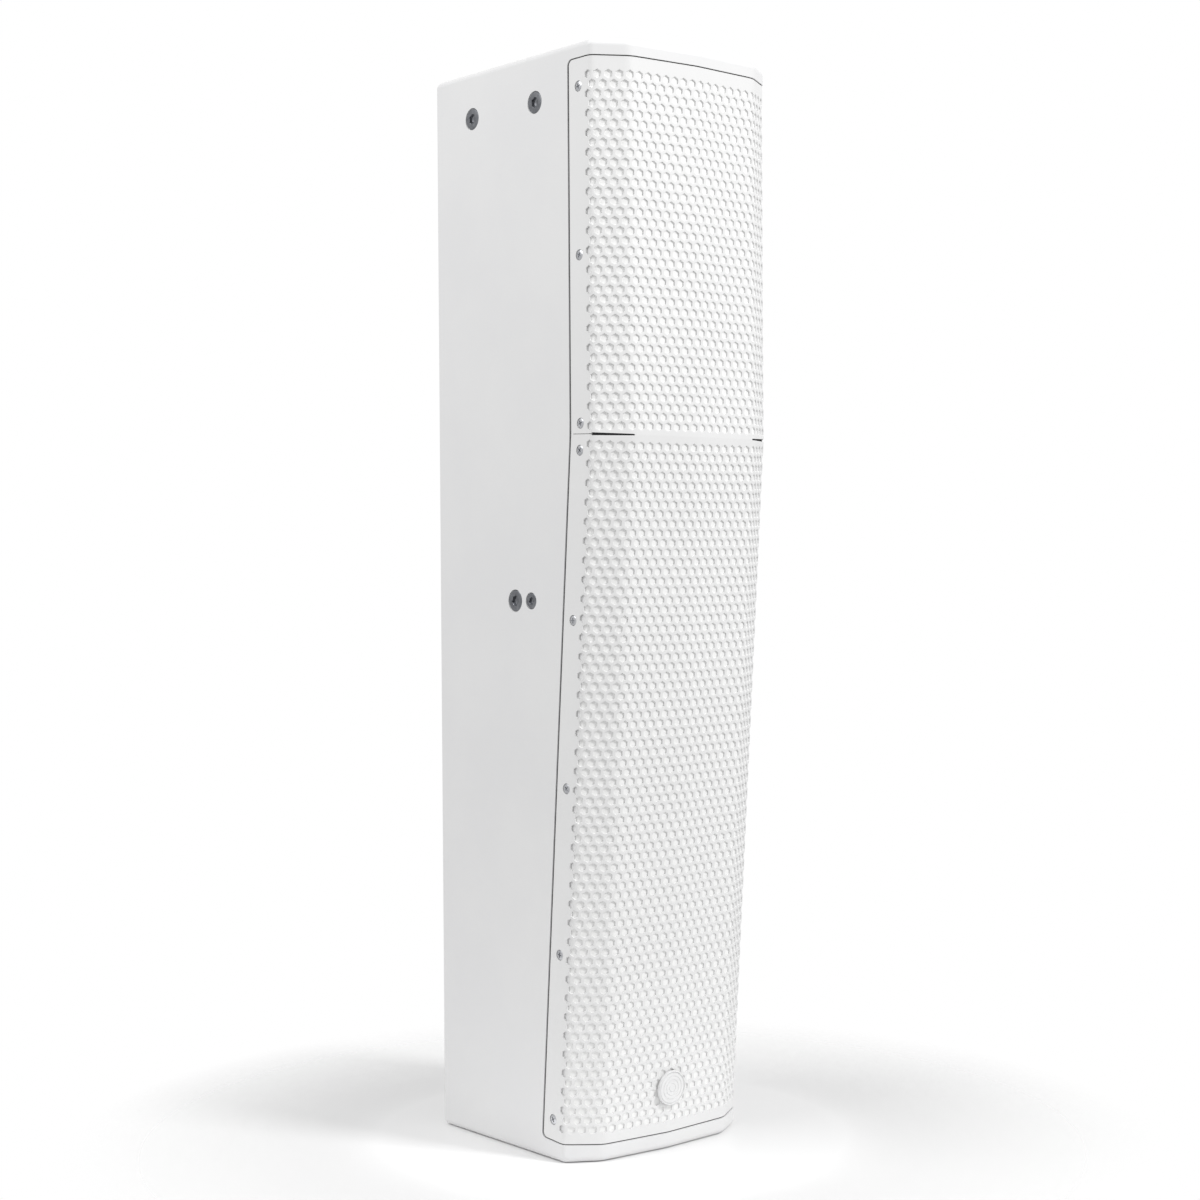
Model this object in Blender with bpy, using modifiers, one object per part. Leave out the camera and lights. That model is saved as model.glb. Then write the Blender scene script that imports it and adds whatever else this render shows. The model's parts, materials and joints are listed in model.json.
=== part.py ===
"""Column loudspeaker in two sections: an upright high-frequency section over a lower section of
four woofers that leans back towards the floor. Metres, +Z up; the front faces -Y and the base
stands on z = 0."""

import math

import bmesh
import bpy
from mathutils import Matrix, Vector

MM = 0.001

# Cabinet
WIDTH = 171 * MM
DEPTH = 208.5 * MM
HEIGHT = 810 * MM
KINK_HEIGHT = 529 * MM  # where the lower section starts to lean back, at the front crest
LEAN = math.radians(4.2)
SIDE_T = 12 * MM
TOP_T = 11.6 * MM
BOTTOM_T = 12 * MM
REAR_T = 12 * MM
EDGE_ROUND = 5 * MM
TOP_REAR_ROUND = 10.5 * MM
JOINT_GAP = 0.3 * MM  # between neighbouring pieces

# Front outline, measured back from the crest that runs down the middle of the front
FACET_HALF = 60 * MM  # half the width of the two flat front facets
CREST_RISE = 4.1 * MM
CHAMFER_DEPTH = 15.6 * MM
SEAM_DEPTH = 43.2 * MM  # where the grille's flange meets the cabinet side
SIDE_FRONT_CLEAR = 1.8 * MM  # from the end of the chamfer back to the side panel's front edge

# Grille and what lies behind it
GRILLE_T = 1.5 * MM
GRILLE_INSET = 0.5 * MM
SEAM_GAP = 0.8 * MM
RELIEF_SLOT = 2 * MM
RELIEF_START = 57 * MM  # from the middle to the slot's inner end, just past the chamfer's bend
RELIEF_LINE = 0.6 * MM
FOAM_T = 4 * MM
FOAM_HALF = 72 * MM
BADGE_D = 26 * MM
BADGE_T = 2.4 * MM
BADGE_HEIGHT = 46.5 * MM
BADGE_STUD_R = 2 * MM

# Baffles and the brace between the sections
BAFFLE_T = 15 * MM
BAFFLE_DEPTH = 22 * MM  # from the crest back to the baffle's face
BRACE_T = 12 * MM
BRACE_BACK = 8 * MM  # from the upper baffle's back to the brace's front edge

# Woofers, in the lower section's own frame
WOOFERS = 4
WOOFER_PITCH = 125 * MM
FIRST_WOOFER = 66 * MM  # from the kink down to the uppermost woofer's axis
FRAME_D = 122 * MM
FRAME_T = 3.6 * MM
BASKET_D = 108 * MM
BASKET_DEPTH = 34 * MM
BASKET_WALL = 2.2 * MM
BASKET_NECK = 6 * MM  # the straight part behind the frame
BASKET_WINDOW = 24 * MM
MAGNET_D = 80 * MM
MAGNET_T = 22 * MM
MAGNET_BACK = 5.5 * MM  # closed plate behind the coil's gap
POLE_D = 24 * MM
COIL_D = 26 * MM
COIL_T = 0.8 * MM
COIL_GAP = 0.9 * MM  # each side of the coil
COIL_REACH = 9 * MM
CONE_D = 84 * MM
CONE_DEPTH = 20 * MM
CONE_T = 1 * MM
CAP_RISE = 8 * MM  # dust cap, above the cone's neck
CAP_T = 1.5 * MM
CAP_LIP = 3 * MM  # where the cap is glued to the cone, outside the neck
SURROUND_ROLL = 3.4 * MM
SURROUND_T = 0.8 * MM
SURROUND_SEAT = 1.4 * MM  # from the frame's face back to the ledge that the surround is glued to
SURROUND_GLUE = 2.4 * MM
FRAME_LIP = 8.8 * MM
RUNNING_GAP = 0.4 * MM

# High-frequency unit, in the upper section's own frame
HORN_HEIGHT = 138 * MM  # above the kink
HORN_WIDTH = 104 * MM
HORN_LENGTH = 190 * MM
HORN_DEPTH = 66 * MM
HORN_WALL = 2.5 * MM
HORN_FLANGE = 12 * MM
HORN_FLARE = 1.3  # how late the sides open
HORN_STATIONS = 5
FLANGE_POWER = 30  # how square the flange's corners are
THROAT_D = 25.4 * MM
DRIVER_D = 86 * MM
DRIVER_T = 46 * MM
CHAMBER_D = 58 * MM
CHAMBER_T = 12 * MM
DOME_D = 44 * MM
DOME_RISE = 7 * MM
DOME_T = 0.8 * MM
COVER_T = 4 * MM
DOME_CLEAR = 2 * MM  # from the cover to the diaphragm's rim

# Rigging points: M8 and M6 countersunk plug screws
M8 = {"head": 16 * MM, "cone": 4 * MM, "shank": 8 * MM, "length": 20 * MM, "key": 5 * MM, "steps": 16}
M6 = {"head": 12 * MM, "cone": 3 * MM, "shank": 6 * MM, "length": 20 * MM, "key": 4 * MM, "steps": 16}
TOP_POINT_HEIGHT = 774.5 * MM
TOP_POINT_REAR = 48.7 * MM  # from the rear plane
TOP_POINT_SPACING = 77 * MM
MID_POINT_HEIGHT = 410 * MM
MID_POINT_REAR = 98.3 * MM
MID_POINT_SPACING = 19.2 * MM
RIGGING_T = 6 * MM
RIGGING_MARGIN = 14 * MM

# Grille screws, down each flange
SCREW = {
    "head": 7 * MM,
    "cone": 2 * MM,
    "shank": 3 * MM,
    "length": 10 * MM,
    "key": 1.6 * MM,
    "steps": 10,
}
SCREW_FROM_SEAM = 10.4 * MM
SCREW_BELOW_TOP = 20.5 * MM
SCREW_ABOVE_FOOT = 15.8 * MM
SCREW_BELOW_KINK = 12.9 * MM
SCREW_ABOVE_KINK = 8.8 * MM
SCREW_TURN = math.radians(5)
UPPER_SCREWS = 3
LOWER_SCREWS = 5

# Terminals and crossover, at the rear
TERMINAL_HEIGHT = 92 * MM
TERMINAL_W = 112 * MM
TERMINAL_H = 62 * MM
TERMINAL_T = 2 * MM
TERMINAL_RECESS = 4 * MM
TERMINAL_LEDGE = 9 * MM
SOCKET_SPACING = 50 * MM
SOCKET_FLANGE_W = 26 * MM
SOCKET_FLANGE_H = 31 * MM
SOCKET_FLANGE_T = 2.4 * MM
SOCKET_BODY_D = 25.5 * MM
SOCKET_BORE_D = 22.4 * MM
SOCKET_DEPTH = 20 * MM
SOCKET_FLOOR = 3 * MM
SOCKET_CORE_D = 9 * MM
SOCKET_CORE_BACK = 2 * MM  # the core's tip, in from the mouth
BOARD_W = 96 * MM
BOARD_H = 120 * MM
BOARD_T = 1.6 * MM
BOARD_BOTTOM = 150 * MM
BOARD_STANDOFF = 8 * MM
STANDOFF_D = 7 * MM
INDUCTOR_D = 34 * MM
INDUCTOR_H = 16 * MM
CAPACITOR_D = 14 * MM
CAPACITOR_L = 30 * MM
INDUCTOR_SPREAD = 27 * MM  # each side of the board's middle

TURN_STEPS = 16
SOCKET_STEPS = 24
POST_STEPS = 12
PAST = 5 * MM  # how far a cutter runs past what it cuts

HALF = WIDTH / 2
REAR = DEPTH / 2
CREST = -DEPTH / 2
CHAMFER_END = CREST_RISE + CHAMFER_DEPTH
INNER_HALF = HALF - SIDE_T
TOP_UNDER = HEIGHT - TOP_T
LOWER_LENGTH = (KINK_HEIGHT - BOTTOM_T) / math.cos(LEAN)
FOOT_CREST = CREST + (KINK_HEIGHT - BOTTOM_T) * math.tan(LEAN)
KINK = Vector((0, CREST, KINK_HEIGHT))

# Each section's own frame: x across, y up along its front, z out of the front; origin at the kink
UPPER = Matrix.Translation(KINK) @ Matrix.Rotation(math.pi / 2, 4, "X")
LOWER = Matrix.Translation(KINK) @ Matrix.Rotation(math.pi / 2 + LEAN, 4, "X")
# Plates drawn in the side view: outline x is world y, outline y is world z, thickness runs along world x
SIDE_VIEW = Matrix(((0, 0, 1, 0), (1, 0, 0, 0), (0, 1, 0, 0), (0, 0, 0, 1)))
LEFT, RIGHT = -1, 1

COLOURS = {
    "paint": ((0.86, 0.86, 0.85), 0.6, 0.0),
    "grille": ((0.88, 0.88, 0.87), 0.5, 0.0),
    "foam": ((0.80, 0.80, 0.79), 0.95, 0.0),
    "plywood": ((0.60, 0.45, 0.28), 0.7, 0.0),
    "dark_steel": ((0.11, 0.12, 0.13), 0.4, 1.0),
    "steel": ((0.62, 0.63, 0.65), 0.35, 1.0),
    "basket": ((0.05, 0.05, 0.055), 0.5, 0.8),
    "magnet": ((0.10, 0.10, 0.11), 0.6, 0.5),
    "paper": ((0.04, 0.04, 0.04), 0.8, 0.0),
    "rubber": ((0.03, 0.03, 0.03), 0.7, 0.0),
    "plastic": ((0.03, 0.03, 0.035), 0.5, 0.0),
    "titanium": ((0.45, 0.45, 0.47), 0.3, 1.0),
    "board": ((0.03, 0.16, 0.08), 0.6, 0.0),
    "badge": ((0.84, 0.84, 0.84), 0.3, 0.2),
}


# ---------------------------------------------------------------- scene and materials


def clear_scene():
    for obj in list(bpy.data.objects):
        bpy.data.objects.remove(obj)


def make_collection(name):
    collection = bpy.data.collections.new(name)
    bpy.context.scene.collection.children.link(collection)
    return collection


def make_materials():
    made = {}
    for name, (colour, roughness, metallic) in COLOURS.items():
        material = bpy.data.materials.new(name)
        material.use_nodes = True
        shader = material.node_tree.nodes["Principled BSDF"]
        shader.inputs["Base Color"].default_value = (*colour, 1)
        shader.inputs["Roughness"].default_value = roughness
        shader.inputs["Metallic"].default_value = metallic
        made[name] = material
    return made


def place(obj, name, material, matrix):
    """Names a working object, gives it its material, puts it where it belongs and files it as a part."""
    obj.name = name
    obj.data.name = name
    obj.data.materials.clear()
    obj.data.materials.append(MATERIALS[material])
    obj.matrix_world = matrix @ obj.matrix_world
    for collection in obj.users_collection:
        collection.objects.unlink(obj)
    PARTS.objects.link(obj)
    obj.data.shade_smooth()
    obj.data.set_sharp_from_angle(angle=math.radians(30))
    return obj


def make_cutter(obj, matrix):
    """Puts a working object where it cuts, hides it from the render and files it with the cutters."""
    obj.name = "cutter"
    obj.matrix_world = matrix @ obj.matrix_world
    for collection in obj.users_collection:
        collection.objects.unlink(obj)
    CUTTERS.objects.link(obj)
    obj.hide_render = True
    obj.display_type = "WIRE"
    return obj


def boolean(obj, other, operation):
    modifier = obj.modifiers.new(operation.title(), "BOOLEAN")
    modifier.operation = operation
    modifier.object = other
    modifier.solver = "EXACT"
    return obj


def cut(obj, cutter):
    return boolean(obj, cutter, "DIFFERENCE")


def join(obj, other):
    """Adds a working object to a part as one solid. The added shape stays with the cutters."""
    return boolean(obj, make_cutter(other, Matrix()), "UNION")


# ---------------------------------------------------------------- shapes


def to_mesh(obj, weld=1e-6):
    """Turns a curve or a modified object into a plain mesh object in the same place."""
    bpy.context.view_layer.update()
    evaluated = obj.evaluated_get(bpy.context.evaluated_depsgraph_get())
    mesh = bpy.data.meshes.new_from_object(evaluated)
    work = bmesh.new()
    work.from_mesh(mesh)
    bmesh.ops.remove_doubles(work, verts=work.verts, dist=weld)
    bmesh.ops.dissolve_limit(work, angle_limit=math.radians(0.1), verts=work.verts, edges=work.edges)
    bmesh.ops.recalc_face_normals(work, faces=work.faces)
    work.to_mesh(mesh)
    work.free()
    solid = bpy.data.objects.new("solid", mesh)
    solid.matrix_world = obj.matrix_world
    bpy.context.scene.collection.objects.link(solid)
    bpy.data.objects.remove(obj)
    return solid


def plate(outline, thickness):
    """A flat plate with this outline in its own x-y plane, its thickness centred on z = 0."""
    curve = bpy.data.curves.new("outline", "CURVE")
    curve.dimensions = "2D"
    curve.fill_mode = "BOTH"
    curve.extrude = thickness / 2
    spline = curve.splines.new("POLY")
    spline.points.add(len(outline) - 1)
    for point, (x, y) in zip(spline.points, outline):
        point.co = (x, y, 0, 1)
    spline.use_cyclic_u = True
    obj = bpy.data.objects.new("outline", curve)
    bpy.context.scene.collection.objects.link(obj)
    return to_mesh(obj)


def block(low, high):
    """A box from its lowest to its highest corner."""
    low, high = Vector(low), Vector(high)
    work = bmesh.new()
    size = high - low
    middle = Matrix.Translation((low + high) / 2)
    bmesh.ops.create_cube(work, size=1, matrix=middle @ Matrix.Diagonal((*size, 1)))
    return from_bmesh(work)


def from_bmesh(work):
    bmesh.ops.recalc_face_normals(work, faces=work.faces)
    mesh = bpy.data.meshes.new("solid")
    work.to_mesh(mesh)
    work.free()
    obj = bpy.data.objects.new("solid", mesh)
    bpy.context.scene.collection.objects.link(obj)
    return obj


def turned(profile, steps=TURN_STEPS, closed=False):
    """Turns a profile of (radius, z) about z: down the outer side; a closed one returns inside."""
    mesh = bpy.data.meshes.new("profile")
    count = len(profile)
    edges = [(i, i + 1) for i in range(count - 1)]
    if closed:
        edges.append((count - 1, 0))
    mesh.from_pydata([(radius, 0, z) for radius, z in profile], edges, [])
    obj = bpy.data.objects.new("profile", mesh)
    bpy.context.scene.collection.objects.link(obj)
    screw = obj.modifiers.new("Turn", "SCREW")
    screw.steps = steps
    screw.render_steps = steps
    screw.use_merge_vertices = True
    screw.merge_threshold = 1e-6
    return to_mesh(obj)


def disc(radius, low, high, steps=TURN_STEPS):
    """A plain round bar along z."""
    return turned([(0, high), (radius, high), (radius, low), (0, low)], steps)


def arc(centre, radius, start, end, steps=4):
    """Points round part of a circle, angles in degrees."""
    angles = [math.radians(start + (end - start) * i / steps) for i in range(steps + 1)]
    return [(centre[0] + radius * math.cos(a), centre[1] + radius * math.sin(a)) for a in angles]


def loft(rings, closed=False):
    """A skin through rings of equal length. With closed, the last ring joins the first."""
    work = bmesh.new()
    made = [[work.verts.new(point) for point in ring] for ring in rings]
    pairs = list(zip(made, made[1:]))
    if closed:
        pairs.append((made[-1], made[0]))
    for ring, after in pairs:
        count = len(ring)
        for i in range(count if closed else count - 1):
            j = (i + 1) % count
            work.faces.new((ring[i], ring[j], after[j], after[i]))
    return from_bmesh(work)


def round_edges(obj, width, chosen, segments=4):
    """Bevels the edges whose two ends both satisfy chosen, in the object's own frame."""
    work = bmesh.new()
    work.from_mesh(obj.data)
    edges = [e for e in work.edges if chosen(e.verts[0].co) and chosen(e.verts[1].co)]
    bmesh.ops.bevel(
        work,
        geom=edges,
        offset=width,
        segments=segments,
        profile=0.5,
        affect="EDGES",
        clamp_overlap=True,
    )
    work.to_mesh(obj.data)
    work.free()
    return obj


# ---------------------------------------------------------------- outlines shared by the pieces


def front_outline(inset=0.0, half=HALF):
    """Half of the front from above, as (x, distance behind the crest), from the side inwards."""
    return [
        (half - inset, CHAMFER_END + inset / 2),
        (FACET_HALF - inset / 2, CREST_RISE + inset),
        (0, inset),
    ]


def mirrored(half_outline):
    """A half outline that ends on the middle line, completed on the other side."""
    return half_outline + [(-x, d) for x, d in reversed(half_outline[:-1])]


def plan_outline(crest_y):
    """A top or bottom plate from above: straight sides, rounded rear corners, faceted front."""
    front = [(x, crest_y + d) for x, d in mirrored(front_outline())]
    rear_right = arc((HALF - EDGE_ROUND, REAR - EDGE_ROUND), EDGE_ROUND, 0, 90)
    rear_left = arc((EDGE_ROUND - HALF, REAR - EDGE_ROUND), EDGE_ROUND, 90, 180)
    return list(reversed(front)) + rear_right + rear_left


def kink_point(x, depth):
    """A point on the mitre plane between the two sections, this far behind the crest."""
    return KINK + Vector((x, depth, depth * math.tan(LEAN / 2)))


def section_rings(half_outline, top, foot):
    """The same outline at the top, on the mitre, and square to the lower section's foot."""
    outline = mirrored(half_outline)
    return [
        [UPPER @ Vector((x, top, -depth)) for x, depth in outline],
        [kink_point(x, depth) for x, depth in outline],
        [LOWER @ Vector((x, -foot, -depth)) for x, depth in outline],
    ]


# ---------------------------------------------------------------- cabinet


def make_top_panel():
    top = plate(plan_outline(CREST), TOP_T)
    half = TOP_T / 2
    round_edges(top, EDGE_ROUND, lambda p: p.z > half - MM / 100)
    place(top, "top_panel", "paint", Matrix.Translation((0, 0, HEIGHT - half)))
    corner = [(REAR - TOP_REAR_ROUND, HEIGHT + PAST), (REAR + PAST, HEIGHT + PAST)]
    corner += [(REAR + PAST, HEIGHT - TOP_REAR_ROUND)]
    corner += arc((REAR - TOP_REAR_ROUND, HEIGHT - TOP_REAR_ROUND), TOP_REAR_ROUND, 0, 90, 6)
    cut(top, make_cutter(plate(corner, WIDTH + 2 * PAST), SIDE_VIEW))


def make_bottom_panel():
    bottom = plate(plan_outline(FOOT_CREST), BOTTOM_T)
    half = BOTTOM_T / 2
    round_edges(bottom, EDGE_ROUND, lambda p: p.z < MM / 100 - half)
    place(bottom, "bottom_panel", "paint", Matrix.Translation((0, 0, half)))


def side_panel_outline():
    low, high = BOTTOM_T + JOINT_GAP, TOP_UNDER - JOINT_GAP
    depth = CHAMFER_END + SIDE_FRONT_CLEAR
    kink = kink_point(0, depth)
    foot_y = kink.y + (kink.z - low) * math.tan(LEAN)
    return [(REAR, low), (REAR, high), (CREST + depth, high), (kink.y, kink.z), (foot_y, low)]


def rabbet_outline():
    """The strip of the side that the grille's flange lies in, drawn with the seam's gap round it."""
    back = SEAM_DEPTH + SEAM_GAP
    kink = kink_point(0, back)
    corner = LOWER @ Vector((0, -LOWER_LENGTH, -back))
    front = LOWER @ Vector((0, -LOWER_LENGTH, PAST))
    rear_line = [(CREST + back, HEIGHT + PAST), (kink.y, kink.z), (corner.y, corner.z)]
    front_line = [(front.y, front.z), (CREST - PAST, KINK_HEIGHT), (CREST - PAST, HEIGHT + PAST)]
    return rear_line + front_line


def make_side_panel(side, name):
    panel = plate(side_panel_outline(), SIDE_T)
    outer = side * (SIDE_T / 2)
    near = MM / 100
    round_edges(panel, EDGE_ROUND, lambda p: abs(p.z - outer) < near and abs(p.x - REAR) < near)
    place(panel, name, "paint", Matrix.Translation((side * (HALF - SIDE_T / 2), 0, 0)) @ SIDE_VIEW)
    depth = GRILLE_INSET + GRILLE_T + JOINT_GAP
    rabbet = plate(rabbet_outline(), 2 * depth)
    cut(panel, make_cutter(rabbet, Matrix.Translation((side * HALF, 0, 0)) @ SIDE_VIEW))
    drill(panel, side, rigging_points() + grille_fixings())


def make_rear_panel():
    half = INNER_HALF - JOINT_GAP
    low = BOTTOM_T + JOINT_GAP
    rear = block((-half, REAR - REAR_T, low), (half, REAR, TOP_UNDER - JOINT_GAP))
    place(rear, "rear_panel", "paint", Matrix())
    half_w, half_h = TERMINAL_W / 2 + JOINT_GAP, TERMINAL_H / 2 + JOINT_GAP
    floor = REAR - TERMINAL_RECESS - TERMINAL_T - JOINT_GAP
    cut(rear, terminal_cutter(half_w, half_h, floor, REAR + PAST))
    inside = REAR - REAR_T - PAST
    cut(rear, terminal_cutter(half_w - TERMINAL_LEDGE, half_h - TERMINAL_LEDGE, inside, REAR))


def terminal_cutter(half_w, half_h, front, back):
    low, high = TERMINAL_HEIGHT - half_h, TERMINAL_HEIGHT + half_h
    return make_cutter(block((-half_w, front, low), (half_w, back, high)), Matrix())


def make_upper_baffle():
    half = INNER_HALF - JOINT_GAP
    back, front = -BAFFLE_DEPTH - BAFFLE_T, -BAFFLE_DEPTH
    low = (BAFFLE_DEPTH + BAFFLE_T) * math.sin(LEAN) + JOINT_GAP
    baffle = block((-half, low, back), (half, TOP_UNDER - KINK_HEIGHT - JOINT_GAP, front))
    place(baffle, "upper_baffle", "plywood", UPPER)
    flange_w, flange_h = HORN_WIDTH / 2 + HORN_FLANGE, HORN_LENGTH / 2 + HORN_FLANGE
    recess = rectangle_cutter(flange_w + JOINT_GAP, flange_h + JOINT_GAP, HORN_WALL + JOINT_GAP)
    cut(baffle, recess)
    wall = HORN_WALL + 2 * JOINT_GAP
    cut(baffle, rectangle_cutter(HORN_WIDTH / 2 + wall, HORN_LENGTH / 2 + wall, BAFFLE_T + PAST))


def rectangle_cutter(half_w, half_h, depth):
    """A rectangular hole round the horn's axis, sunk this deep into the upper baffle's face."""
    low = (-half_w, HORN_HEIGHT - half_h, -BAFFLE_DEPTH - depth)
    high = (half_w, HORN_HEIGHT + half_h, -BAFFLE_DEPTH + PAST)
    return make_cutter(block(low, high), UPPER)


def make_lower_baffle():
    half = INNER_HALF - JOINT_GAP
    back, front = -BAFFLE_DEPTH - BAFFLE_T, -BAFFLE_DEPTH
    foot = -LOWER_LENGTH + JOINT_GAP
    baffle = block((-half, foot, back), (half, -JOINT_GAP, front))
    place(baffle, "lower_baffle", "plywood", LOWER)
    for number in range(WOOFERS):
        frame = woofer_frame(number)
        sunk = disc(FRAME_D / 2 + JOINT_GAP, -FRAME_T - JOINT_GAP, PAST)
        cut(baffle, make_cutter(sunk, frame))
        through = disc(BASKET_D / 2 + 2 * JOINT_GAP, -BAFFLE_T - PAST, PAST)
        cut(baffle, make_cutter(through, frame))


def make_centre_brace():
    """The shelf behind the kink that closes the woofers' chamber and holds both baffles' backs."""
    half = INNER_HALF - JOINT_GAP
    front = CREST + BAFFLE_DEPTH + BAFFLE_T + BRACE_BACK
    low = KINK_HEIGHT - BRACE_T / 2
    brace = block((-half, front, low), (half, REAR - REAR_T - JOINT_GAP, low + BRACE_T))
    place(brace, "centre_brace", "plywood", Matrix())
    for side in (LEFT, RIGHT):
        cut(brace, make_cutter(upright_block(side, rigging_leg(), 2 * JOINT_GAP), Matrix()))


# ---------------------------------------------------------------- grille, foam and badge


def grille_line(extra=0.0):
    """The grille's outer face from above, from the end of its flange to the middle."""
    inset = GRILLE_INSET + extra
    outline = front_outline(inset)
    return [(HALF - inset, SEAM_DEPTH)] + outline


def make_grille():
    rings = section_rings(grille_line(), TOP_UNDER - KINK_HEIGHT - SEAM_GAP, LOWER_LENGTH - SEAM_GAP)
    grille = loft(rings)
    place(grille, "front_grille", "grille", Matrix())
    solid = grille.modifiers.new("Sheet", "SOLIDIFY")
    solid.thickness = GRILLE_T
    solid.offset = sheet_side(grille)
    solid.use_even_offset = True
    for side in (LEFT, RIGHT):
        drill(grille, side, grille_fixings())
        cut_relief(grille, side)
    stud = disc(BADGE_STUD_R + JOINT_GAP, -PAST, PAST, POST_STEPS)
    cut(grille, make_cutter(stud, badge_frame()))


def sheet_side(obj):
    """Which way Solidify must grow so that the drawn face stays outside."""
    front = min(obj.data.polygons, key=lambda face: face.center.y)
    return -1 if front.normal.y < 0 else 1


def cut_relief(grille, side):
    """The tapered slot that lets the chamfer fold at the kink, and the thin line across the flange."""
    start, end = side * RELIEF_START, side * (HALF + PAST)
    wide, narrow = RELIEF_SLOT / 2, RELIEF_SLOT / 4
    wedge = [(start, -narrow), (end, -wide), (end, wide), (start, narrow)]
    middle = KINK + Vector((0, CHAMFER_END / 2, CHAMFER_END / 2 * math.tan(LEAN / 2)))
    mitre = Matrix.Translation(middle) @ Matrix.Rotation(LEAN / 2, 4, "X")
    slot = plate(wedge, CHAMFER_END + PAST)
    cut(grille, make_cutter(slot, mitre @ Matrix.Rotation(math.pi / 2, 4, "X")))
    half = RELIEF_LINE / 2
    low = (side * HALF - PAST, CHAMFER_END / 2 - MM, -half)
    high = (side * HALF + PAST, SEAM_DEPTH + PAST, half)
    cut(grille, make_cutter(block(low, high), mitre))


def make_foam():
    inset = GRILLE_INSET + GRILLE_T + 2 * JOINT_GAP
    end = (FOAM_HALF, chamfer_depth(FOAM_HALF) + inset * 1.4)
    line = [end] + front_outline(inset)[1:]
    rings = section_rings(line, TOP_UNDER - KINK_HEIGHT - SEAM_GAP, LOWER_LENGTH - SEAM_GAP)
    foam = loft(rings)
    place(foam, "grille_foam", "foam", Matrix())
    solid = foam.modifiers.new("Sheet", "SOLIDIFY")
    solid.thickness = FOAM_T
    solid.offset = sheet_side(foam)
    solid.use_even_offset = True


def chamfer_depth(x):
    """How far behind the crest the chamfer's outer face is, this far from the middle."""
    return CREST_RISE + (x - FACET_HALF) * CHAMFER_DEPTH / (HALF - FACET_HALF)


def badge_frame():
    """Out of the lower section's front, on the crest at the badge's height."""
    down = (KINK_HEIGHT - BADGE_HEIGHT) / math.cos(LEAN)
    return LOWER @ Matrix.Translation((0, -down, -GRILLE_INSET))


def make_badge():
    radius = BADGE_D / 2
    face = JOINT_GAP + BADGE_T
    edge = [(radius - 0.8 * MM, face - 0.5 * MM), (radius, face - 1.2 * MM), (radius, JOINT_GAP)]
    stud = [(BADGE_STUD_R, JOINT_GAP), (BADGE_STUD_R, -GRILLE_T), (0, -GRILLE_T)]
    badge = turned([(0, face), (radius * 0.6, face - 0.15 * MM)] + edge + stud)
    place(badge, "badge", "badge", badge_frame())


# ---------------------------------------------------------------- screws and rigging


def rigging_points():
    """((y, z), screw size) of each rigging point on a side."""
    top, mid = REAR - TOP_POINT_REAR, REAR - MID_POINT_REAR
    return [
        ((top, TOP_POINT_HEIGHT), M8),
        ((top - TOP_POINT_SPACING, TOP_POINT_HEIGHT), M8),
        ((mid, MID_POINT_HEIGHT), M8),
        ((mid - MID_POINT_SPACING, MID_POINT_HEIGHT), M6),
    ]


def screw_points():
    """(y, z) of the grille screws down one flange: evenly spaced in each section."""
    depth = SEAM_DEPTH - SCREW_FROM_SEAM
    top = TOP_UNDER - KINK_HEIGHT - SCREW_BELOW_TOP
    upper = [UPPER @ Vector((0, y, -depth)) for y in stepped(top, SCREW_ABOVE_KINK, UPPER_SCREWS)]
    foot = SCREW_ABOVE_FOOT - LOWER_LENGTH
    lower = [LOWER @ Vector((0, y, -depth)) for y in stepped(-SCREW_BELOW_KINK, foot, LOWER_SCREWS)]
    return [(point.y, point.z) for point in upper + lower]


def stepped(start, end, count):
    return [start + (end - start) * i / (count - 1) for i in range(count)]


def grille_fixings():
    return [(location, SCREW) for location in screw_points()]


def screw_matrix(side, location, size):
    """Along x, head outwards: flush with the side, or with the flange for a grille screw."""
    face = HALF - GRILLE_INSET if size is SCREW else HALF
    y, z = location
    outwards = Matrix.Rotation(side * math.pi / 2, 4, "Y")
    return Matrix.Translation((side * face, y, z)) @ outwards @ Matrix.Rotation(SCREW_TURN, 4, "Z")


def screw_profile(size, grow=0.0):
    head, shank, cone = size["head"] / 2 + grow, size["shank"] / 2 + grow, size["cone"]
    top = PAST if grow else 0
    rim = 0.4 * MM
    profile = [(0, top), (head, top), (head, -rim - grow), (shank, -cone - grow)]
    return profile + [(shank, -size["length"] - grow), (0, -size["length"] - grow)]


def drill(obj, side, fixings):
    """Cuts the clearance holes of these screws, a (y, z) place and a screw size each, in one go."""
    work = bmesh.new()
    for location, size in fixings:
        hole = turned(screw_profile(size, JOINT_GAP), size["steps"])
        hole.data.transform(screw_matrix(side, location, size))
        work.from_mesh(hole.data)
        bpy.data.objects.remove(hole)
    cut(obj, make_cutter(from_bmesh(work), Matrix()))


def make_screw(side, location, size, name, material):
    screw = turned(screw_profile(size), size["steps"])
    matrix = screw_matrix(side, location, size)
    place(screw, name, material, matrix)
    key = disc(size["key"] / math.sqrt(3), -0.6 * size["cone"], PAST, 6)
    cut(screw, make_cutter(key, matrix))


def rigging_bar():
    """(lowest, highest) (y, z) corners of the rigging plate's bar, behind the two upper points."""
    (rear, height), (front, _) = (location for location, _ in rigging_points()[:2])
    margin = RIGGING_MARGIN
    return (front - margin, height - margin), (rear + margin, height + margin)


def rigging_leg():
    """(lowest, highest) (y, z) corners of the leg from the bar down behind the middle points."""
    (rear, height), (front, _) = (location for location, _ in rigging_points()[2:])
    margin = RIGGING_MARGIN
    return (front - margin, height - margin), (rear + margin, TOP_POINT_HEIGHT)


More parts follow.
